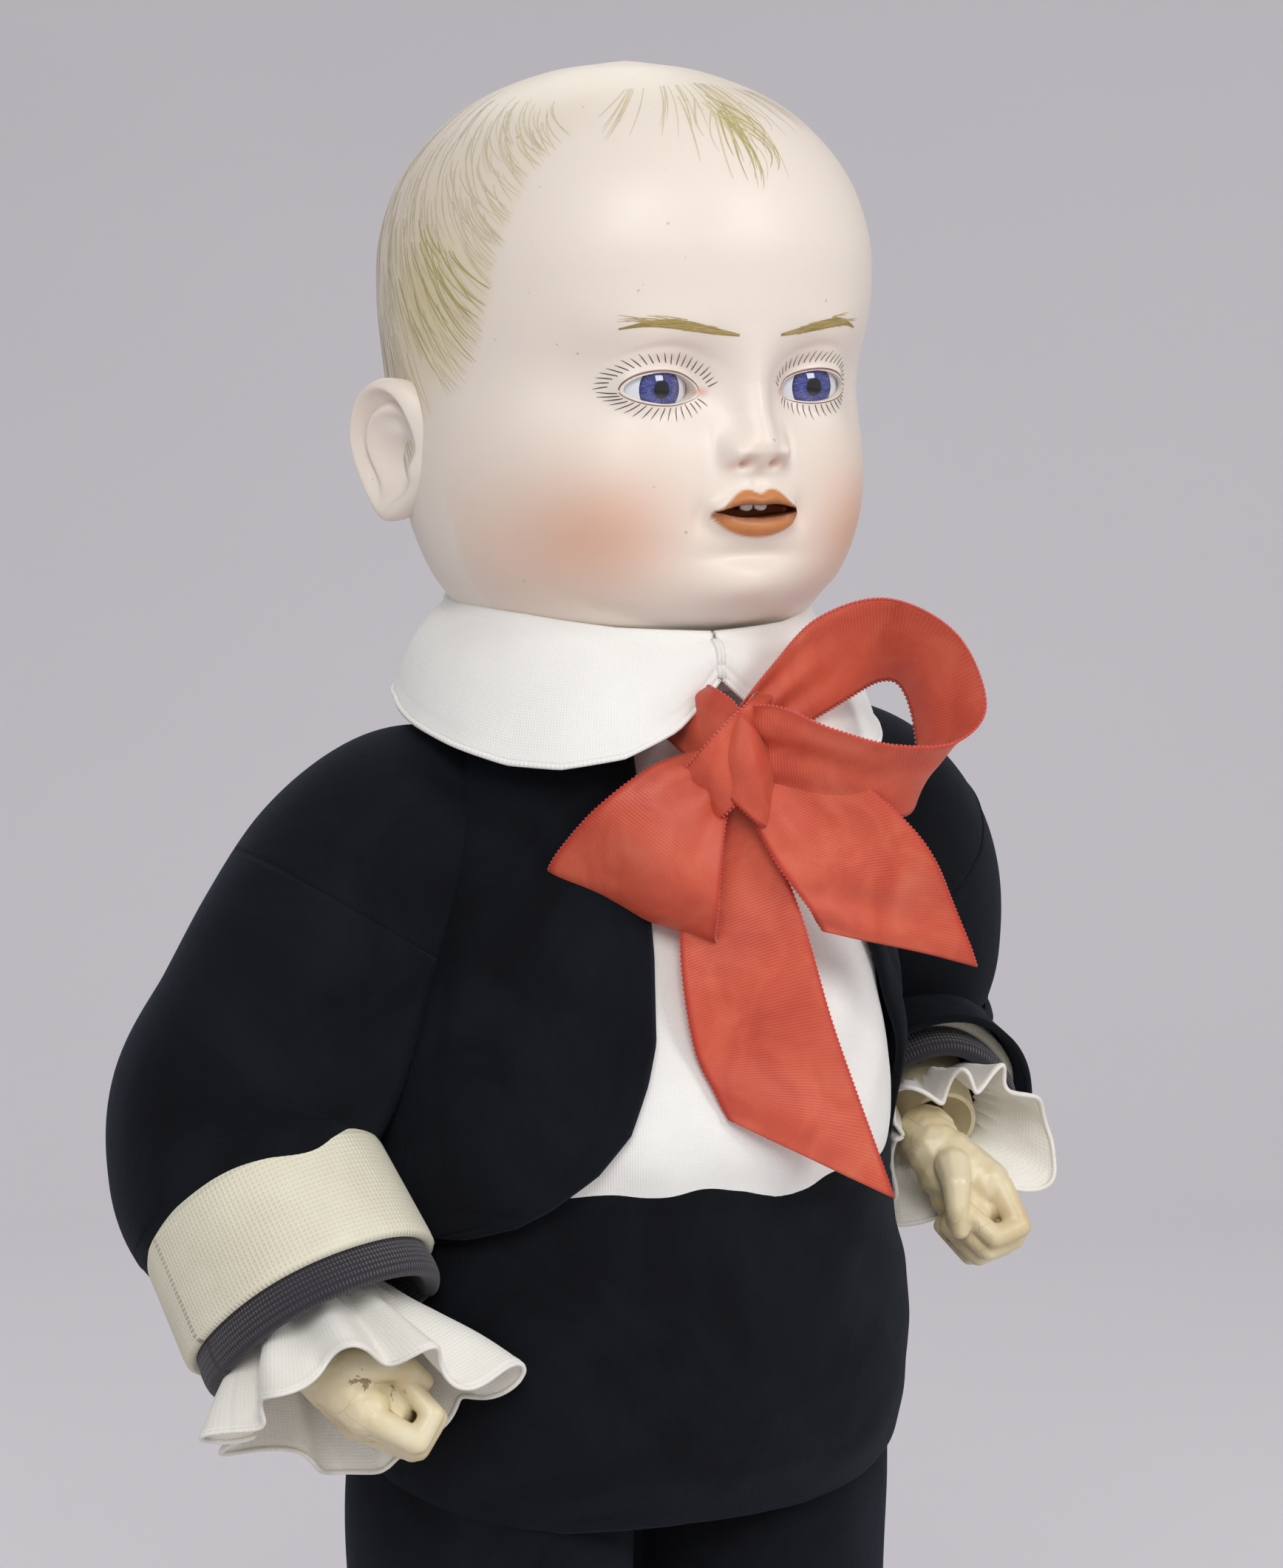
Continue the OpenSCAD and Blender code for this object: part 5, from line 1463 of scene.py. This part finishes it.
def ribbon_strip(name, rows, steps=14, across=22, crumple=0.6, seed=0.0, body="torso", taper=None):
    """rows: centre (x, z, t) and half-width vector (x, z, t) along the ribbon."""
    c = catmull([list(W(*r[:3])) + list(W(*r[3:6])) for r in rows], steps)
    n = len(c)
    s = np.linspace(-1, 1, across)
    P = np.zeros((n, across, 3))
    tang = np.gradient(c[:, :3], axis=0)
    for i in range(n):
        q = i / (n - 1)
        hw = c[i, 3:]
        nrm = unit(np.cross(tang[i], hw))
        for j, k in enumerate(s):
            cup = 1.1 * (k * k - 0.4) * math.sin(2.2 * q + seed)
            ripple = crumple * noise.noise(Vector((q * 5 + seed, k * 1.1, seed * 2))) * 2.0
            pleat = 0.9 * math.sin(k * 7.5 + seed * 3) * (bell(q, 0.16) + (bell(q - 1,
                    0.16) if taper == "both" else 0))
            P[i, j] = c[i, :3] + hw * k + nrm * (cup + ripple + pleat)
    ob = open_sheet(name, L(P), ribbon, 0.32, body)
    n_v = len(ob.data.vertices)
    idx = np.arange(n_v) % (n * across) if n_v >= 2 * n * across else np.zeros(n_v, int)
    kk = np.abs(s[idx % across])
    attribute(ob, "edge", sstep(0.90, 0.97, kk))
    edge_ob = picots(name + "_picots", L(P), body)
    return ob, P


def picots(name, P, body):
    """Small overcast stitches along both edges of the ribbon."""
    parts_v, parts_f = [], []
    for col, ins in ((0, 1), (-1, -2)):
        line = P[:, col]
        inner = P[:, ins]
        ln = np.concatenate([[0], np.cumsum(np.linalg.norm(np.diff(line, axis=0), axis=1))])
        count = int(ln[-1] / 0.95)
        for k in range(count):
            d = (k + 0.5) * ln[-1] / count
            p = np.array([np.interp(d, ln, line[:, i]) for i in range(3)])
            g = np.array([np.interp(d, ln, inner[:, i]) for i in range(3)])
            a = np.array([np.interp(min(d + 0.3, ln[-1]), ln, line[:, i]) for i in range(3)])
            out = unit(p - g)
            al = unit(a - p + 1e-6)
            nn = unit(np.cross(out, al))
            base = len(parts_v)
            for q in (-1, 0, 1):
                for m in (-1, 1):
                    parts_v.append(p + out * (0.28 * (1 - q * q)) + al * 0.36 * q + nn * 0.2 * m)
            parts_v.append(p - out * 0.45)
            parts_f += [(base, base + 1, base + 3, base + 2), (base + 2, base + 3, base + 5, base + 4),
                        (base, base + 2, base + 4, base + 6), (base + 1, base + 6, base + 5, base + 3)]
    ob = mesh(name, parts_v, parts_f, ribbon_edge)
    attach(ob, body)
    return ob


ribbon_edge = Mat("ribbon_edge", (0.62, 0.055, 0.03), 0.55, Sheen_Weight=0.3)
ribbon_edge.color(ribbon_edge.mix(ribbon_edge.noise(400, 2), (0.50, 0.04, 0.02), (0.70, 0.09, 0.05)))


def make_bow():
    out = {}
    # the doll's left loop, standing up to the viewer's right
    out["left_loop"] = ribbon_strip("bow_left_loop", [
        (20, 361, 43, 0, 8, 1), (31, 361, 47, -1, 10, 3), (44, 358, 47, -2, 9, 6), (55, 355.5, 42, -1, 8, 7),
        (63, 357.5, 37, 4, 6, 7), (66, 367, 31, 7, 3, 7), (62, 377.5, 28, 5, 6, 7), (53, 382, 28, 0, 9, 6),
        (42, 378.5, 32, -3, 9, 4), (31, 370.5, 37, -2, 7, 2), (21, 363, 42, 0, 5, 0)], crumple=0.6, seed=1.3,
                taper="both")
    # the doll's right loop, falling to the viewer's left
    out["right_loop"] = ribbon_strip("bow_right_loop", [
        (19, 358, 45, 3, -4, 0), (13, 352, 51, 7, -7, 0), (7, 342, 54, 12, -9, 1), (2.5, 333, 50, 15.5, -8.5,
                1),
        (1.5, 329.5, 45.5, 16.5, -8, 0), (3, 332, 41.5, 15.5, -8, -2), (8, 340, 40, 11.5, -7, -2), (14, 350,
                41, 7, -5, -1), (19, 357, 42, 3, -3, 0)],
        crumple=0.9, seed=4.1, taper="both")
    out["long_tail"] = ribbon_strip("bow_long_tail", [
        (21, 357, 43, 5, 1, 0), (20.5, 345, 44.5, 8, 2, -1), (23.5, 324, 46, 12, 4, -2), (28, 304, 46.5, 14,
                2, -2), (33.5, 290, 47, 15, -2, -2),
        (38, 278.5, 47, 17, -8.5, -2)], crumple=0.9, seed=2.2)
    out["short_tail"] = ribbon_strip("bow_short_tail", [
        (25, 359, 43, 3, 4, 0), (35, 352, 45, 9, 5, -2), (45, 341, 43, 14, 3, -4), (51.5, 330, 39, 15.5, -1,
                -6), (56, 320, 35, 16, -4.5, -7)],
        crumple=0.9, seed=6.4)
    # the knot: a crossed wrap of the same ribbon
    out["knot"] = ribbon_strip("bow_knot_wrap", [
        (12, 369, 37, 4, 5.5, 3), (16, 366.5, 45, 3.5, 6.5, 2), (22, 361, 51, 2, 7.6, 0), (28, 355, 49, 1,
                7.6, -1), (31, 351, 40, 0, 6.4, -2)],
        crumple=0.5, seed=3.3)
    out["knot_back"] = ribbon_strip("bow_knot_cross", [
        (31, 369, 39, -3, 4.2, 2), (27, 366, 47, -3, 5, 2), (20, 358, 51.5, -3.6, 5.4, 1), (14, 351, 48, -4,
                4.4, 0), (12, 349, 41, -4, 3.8, -1)],
        crumple=0.5, seed=8.3)
    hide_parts("bow_knot")
    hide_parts("bow_loops")
    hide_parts("bow_tails")
    return out


make_bow()


# ---- Breeches and stockings ----
def make_breeches():
    z = np.concatenate([np.linspace(199, 212, 14), np.linspace(214, 277.5, 43)])
    a = np.linspace(-math.pi, math.pi, 200, endpoint=False)
    Z, A = np.meshgrid(z, a, indexing="ij")
    r = body_r(SEAT, Z, A) + creases(A, Z, 0.9, 12.0) * sstep(268, 250, Z)
    r = r - 0.35 * bell(Z - 268.5, 0.6) + 0.25 * bell(Z - 273, 3)
    P = cyl(r, A, Z)
    ob = open_sheet("breeches_seat", L(P), velvet, 1.6, "torso", wrap=True)
    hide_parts("breeches", "waistband")
    for side in ("right", "left"):
        s = SIDE[side]
        h = HP[side] - AXIS
        rows = [(234, 24), (226, 27), (216, 29.2), (205, 30), (185, 30), (160, 29.3), (140, 28.6), (128, 28),
                (123.2, 27.6), (122, 26.8), (122.6, 25.8), (128, 25.4)]
        c = catmull([(zz, rr, 0) for zz, rr in rows], 6)
        n = 140
        aa = np.linspace(-math.pi, math.pi, n, endpoint=False)
        P = np.zeros((len(c), n, 3))
        for i, (zz, rr, _) in enumerate(c):
            for j, t in enumerate(aa):
                f = noise.noise(Vector((math.cos(t) * 1.5 + s * 3, math.sin(t) * 1.5,
                        zz * 0.03))) * float(sstep(238, 205, zz))
                x = rr * math.sin(t)
                if -s * x > 29.2:
                    x = -s * 29.2
                P[i, j] = (h[0] + x * (1 + f / rr), h[1] - rr * math.cos(t) * (1 + f / rr), zz)
        leg = open_sheet(side + "_breeches_leg", L(P), velvet, 1.5, None, wrap=True, inward=False)
        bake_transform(leg)
    return ob


make_breeches()
STOCKING = [(141, 21), (136, 19), (128, 16.8), (112, 15.0), (94, 14.6), (79, 18.2), (65, 17.9), (46, 14.3),
        (36, 13.0), (31, 12.9), (26, 13.1)]


def make_stockings():
    for side in ("right", "left"):
        k = KN[side] - AXIS
        c = catmull([(z, r, 0) for z, r in STOCKING], 8)
        n = 96
        a = np.linspace(-math.pi, math.pi, n, endpoint=False)
        P = np.zeros((len(c), n, 3))
        for i, (zz, rr, _) in enumerate(c):
            for j, t in enumerate(a):
                wr = 0.35 * bell(zz - 42, 6) * math.sin(zz * 1.6 + math.sin(2 * t)) + 0.3 * bell(zz - 104,
                        8) * math.sin(zz * 1.4 + 1.3 * math.cos(t))
                r = rr + wr + 0.10 * math.cos(24 * t)
                P[i, j] = (k[0] + r * math.sin(t), k[1] - r * math.cos(t), zz)
        ob = open_sheet(side + "_stocking_leg", L(P), stocking_mat, 0.7, None, wrap=True,
                inward=False)
        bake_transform(ob)
        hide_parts(side + "_stocking")


make_stockings()


# ---- Hands: composition fists with curled fingers and a thumb ----
HAND_SIZE = 1.12


def blob(parts, name, voxel=0.45):
    """One smooth skin over tapered limbs given as (point, radius) chains."""
    bm = bmesh.new()
    for chain in parts:
        for (p, r), (q, s) in zip(chain, chain[1:]):
            p, q = np.array(p, float), np.array(q, float)
            steps = max(2, int(np.linalg.norm(q - p) / (0.45 * min(r, s)) + 1))
            for i in range(steps + 1):
                u = i / steps
                c = p + (q - p) * u
                bmesh.ops.create_icosphere(bm, subdivisions=2, radius=(r + (s - r) * u) * MM,
                                           matrix=Matrix.Translation(Vector(c * MM)))
    me = bpy.data.meshes.new(name)
    bm.to_mesh(me)
    bm.free()
    ob = bpy.data.objects.new(name, me)
    bpy.context.collection.objects.link(ob)
    me.materials.append(compo.m)
    modifier(ob, "REMESH", mode="VOXEL", voxel_size=voxel * MM, use_smooth_shade=True)
    modifier(ob, "SMOOTH", factor=0.5, iterations=5)
    bake(ob)
    ob.data.polygons.foreach_set("use_smooth", [True] * len(ob.data.polygons))
    return ob


HAND = {"right": dict(down=(0.62, -0.52, -0.80), inward=(0.75, 0.0, 0.62)),
        "left": dict(down=(0.50, -0.50, -0.72), inward=(-0.55, -0.35, -0.62))}


def make_hand(side):
    e, w, f, u, b = arm_frame(side)
    d = unit(HAND[side]["down"])
    inn = np.array(HAND[side]["inward"])
    inn = unit(inn - d * inn.dot(d))
    acr = np.cross(d, inn)  # across the knuckles
    if acr[1] > 0:
        acr = -acr  # towards the index finger, at the front
    def at(along, inward, across):
        return w + 5.5 * f + HAND_SIZE * (d * along + inn * inward + acr * across)
    parts = [[(w + 1.0 * f, 7.0), (w + 6.5 * f, 6.6), (at(4, 0, 0), 7.0)],
             [(at(4, 0, 1.5), 6.6), (at(12, -0.5, 4.6), 5.4)], [(at(4, 0, -1.5), 6.6),
                     (at(12, -0.5, -4.4), 5.2)],
             [(at(5, 1, 0), 7), (at(13, 0, 0), 5.6)]]
    parts.append([(at(9, 3.2, 2.6), 4.4), (at(15.5, 3.6, 2.4), 4.0)])
    parts.append([(at(9, 3.2, -2.6), 4.4), (at(15.5, 3.6, -2.6), 4.0)])
    for ac, ln in ((6.6, 0.96), (2.3, 1.06), (-2.2, 1.0), (-6.4, 0.84)):
        k1 = at(14.5, -0.8, ac)
        k2 = at(14.5 + 8.2 * ln, 1.8, ac * 0.96)
        k3 = at(13.2 + 8.0 * ln, 7.0 * ln + 0.6, ac * 0.9)
        k4 = at(9.5 + 3.4 * ln, 8.2 * ln, ac * 0.86)
        parts.append([(at(8, -0.6, ac * 0.72), 4.2), (k1, 3.15), (k2, 2.75), (k3, 2.5), (k4, 2.15)])
    parts.append([(at(5.5, 3.2, 5.6), 4.2), (at(8.6, 7.0, 8.0), 3.3), (at(12.0, 9.6, 6.6), 2.7),
            (at(15.4, 10.6, 4.0), 2.2)])
    ob = blob(parts, side + "_fist")
    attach(ob, side + "_hand")
    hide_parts(side + "_hand")
    return ob


for side_ in ("right", "left"):
    make_hand(side_)


# ---- Elastic cords: each length goes with the body it runs in, and they meet at the joints' centres ----
SHOULDER = {s: joint(s + "_shoulder_swing") for s in ("right", "left")}
LOOP_Z, CORD_R = 320.7, 1.3  # where the leg cord passes the neck hook, and the cord's radius


def cord_length(name, points, body):
    path = [np.array(p, float) for p in points]
    run = [path[0]]
    for p, q in zip(path, path[1:]):
        run += [p + (q - p) * k / 8 for k in range(1, 9)]
    return hem_tube(name, L(np.array(run)), CORD_R, elastic, body, closed=False)


def make_cords():
    sh = {s: SHOULDER[s] - AXIS for s in SHOULDER}
    across = cord_length("arm_cord_body", [sh["right"], (-36, 2, sh["right"][2]), (0, 9, sh["right"][2] - 1),
            (36, 2, sh["right"][2]), sh["left"]], "torso")
    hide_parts("arm_elastic")
    for side in ("right", "left"):
        s = SIDE[side]
        e, w, hip, knee = EL[side] - AXIS, WR[side] - AXIS, HP[side] - AXIS, KN[side] - AXIS
        cord_length(side + "_arm_cord_upper", [sh[side], e], side + "_upper_arm")
        cord_length(side + "_arm_cord_lower", [e, w - 13 * unit(w - e)], side + "_forearm")
        top = cord_length(side + "_leg_cord_body", [(0, 5, LOOP_Z), (s * 4.5, 5, LOOP_Z),
                (s * 7.5, 4.5, LOOP_Z - 7),
                                                       (s * 31, 2, hip[2] + 34), hip], "torso")
        cord_length(side + "_leg_cord_thigh", [hip, knee], side + "_thigh")
        cord_length(side + "_leg_cord_lower", [knee, knee - np.array([0, 0, 40.0])], side + "_lower_leg")
    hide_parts("leg_elastic")


make_cords()


# ---- Stage ----
def stage():
    floor = Mat("floor_paper", (0.73, 0.71, 0.73), 0.9, Specular_IOR_Level=0.1)
    floor.color(floor.mix(floor.noise(3, 2), (0.715, 0.695, 0.72), (0.745, 0.725, 0.745)))
    v, prof = [], [(-3.0, 0.0), (0.0, 0.0), (1.3, 0.0)]
    for i in range(9):
        a = math.pi / 2 * (i + 1) / 9
        prof.append((1.3 + 0.8 * math.sin(a), 0.8 - 0.8 * math.cos(a)))
    prof.append((2.1, 4.5))
    ca, sa = math.cos(math.radians(-28)), math.sin(math.radians(-28))
    for u, z in prof:
        for w in (-4.0, 4.0):
            v.append((1000 * (w * ca - u * sa), 1000 * (w * sa + u * ca), 1000 * z))
    ob = mesh("backdrop", v, grid_faces(len(prof), 2), floor)

    def lamp(name, energy, size, place, target, size_y=None):
        li = bpy.data.lights.new(name, "AREA")
        li.energy, li.size = energy, size
        li.shape = "RECTANGLE"
        li.size_y = size_y or size
        o = bpy.data.objects.new(name, li)
        bpy.context.collection.objects.link(o)
        o.location = place
        o.rotation_euler = (Vector(target) - Vector(place)).to_track_quat("-Z", "Y").to_euler()

    c = (0, 0, 0.33)
    lamp("key", 18, 0.8, (-0.75, -1.45, 1.45), c, 0.8)
    lamp("fill", 10, 0.55, (0.92, -1.42, 1.12), c, 0.7)
    lamp("back", 5, 0.9, (0.3, 1.1, 1.5), c, 0.9)
    w = bpy.data.worlds.new("World")
    bpy.context.scene.world = w
    w.use_nodes = True
    w.node_tree.nodes["Background"].inputs["Color"].default_value = (0.80, 0.79, 0.82, 1)
    w.node_tree.nodes["Background"].inputs["Strength"].default_value = 0.55
    bpy.context.scene.view_settings.view_transform = "Standard"


stage()

# ---- Carried-over CAD nodes get their finishes ----
FINISH = {
    "torso_front": compo, "torso_back": compo, "right_upper_arm": wood_mat, "left_upper_arm": wood_mat,
    "right_forearm": compo, "left_forearm": compo, "right_hand": compo, "left_hand": compo,
    "right_thigh": compo, "left_thigh": compo, "right_lower_leg": compo, "left_lower_leg": compo,
    "right_elbow_ball": wood_mat, "left_elbow_ball": wood_mat, "right_knee_ball": wood_mat,
    "left_knee_ball": wood_mat, "neck_button": wood_mat, "neck_hook": wire, "right_hand_hook": wire,
    "left_hand_hook": wire, "right_leg_hook": wire, "left_leg_hook": wire, "eye_bar": wire,
    "eye_weight": lead, "eye_plaster": plaster, "cork_stop": cork, "arm_elastic": elastic,
    "leg_elastic": elastic, "jacket_body": velvet, "shirt_body": linen, "breeches": velvet,
    "waistband": velvet, "right_sleeve": velvet, "left_sleeve": velvet, "shirt_collar": linen,
    "right_cuff_band": cuff_linen, "left_cuff_band": cuff_linen, "right_sleeve_lining": knit,
    "left_sleeve_lining": knit, "right_frill": muslin, "left_frill": muslin, "bow_knot": ribbon,
    "bow_loops": ribbon, "bow_tails": ribbon, "right_stocking": stocking_mat, "left_stocking": stocking_mat,
    "right_shoe_upper": leather, "left_shoe_upper": leather, "right_shoe_strap": leather,
    "left_shoe_strap": leather, "right_shoe_sole": sole_mat, "left_shoe_sole": sole_mat,
    "eye_right": eye_material(EYE_C["right"]), "eye_left": eye_material(EYE_C["left"]),
}
for name_, ob_ in frame["nodes"].items():
    if name_ in FINISH:
        for sl in ob_.material_slots:
            sl.material = FINISH[name_].m
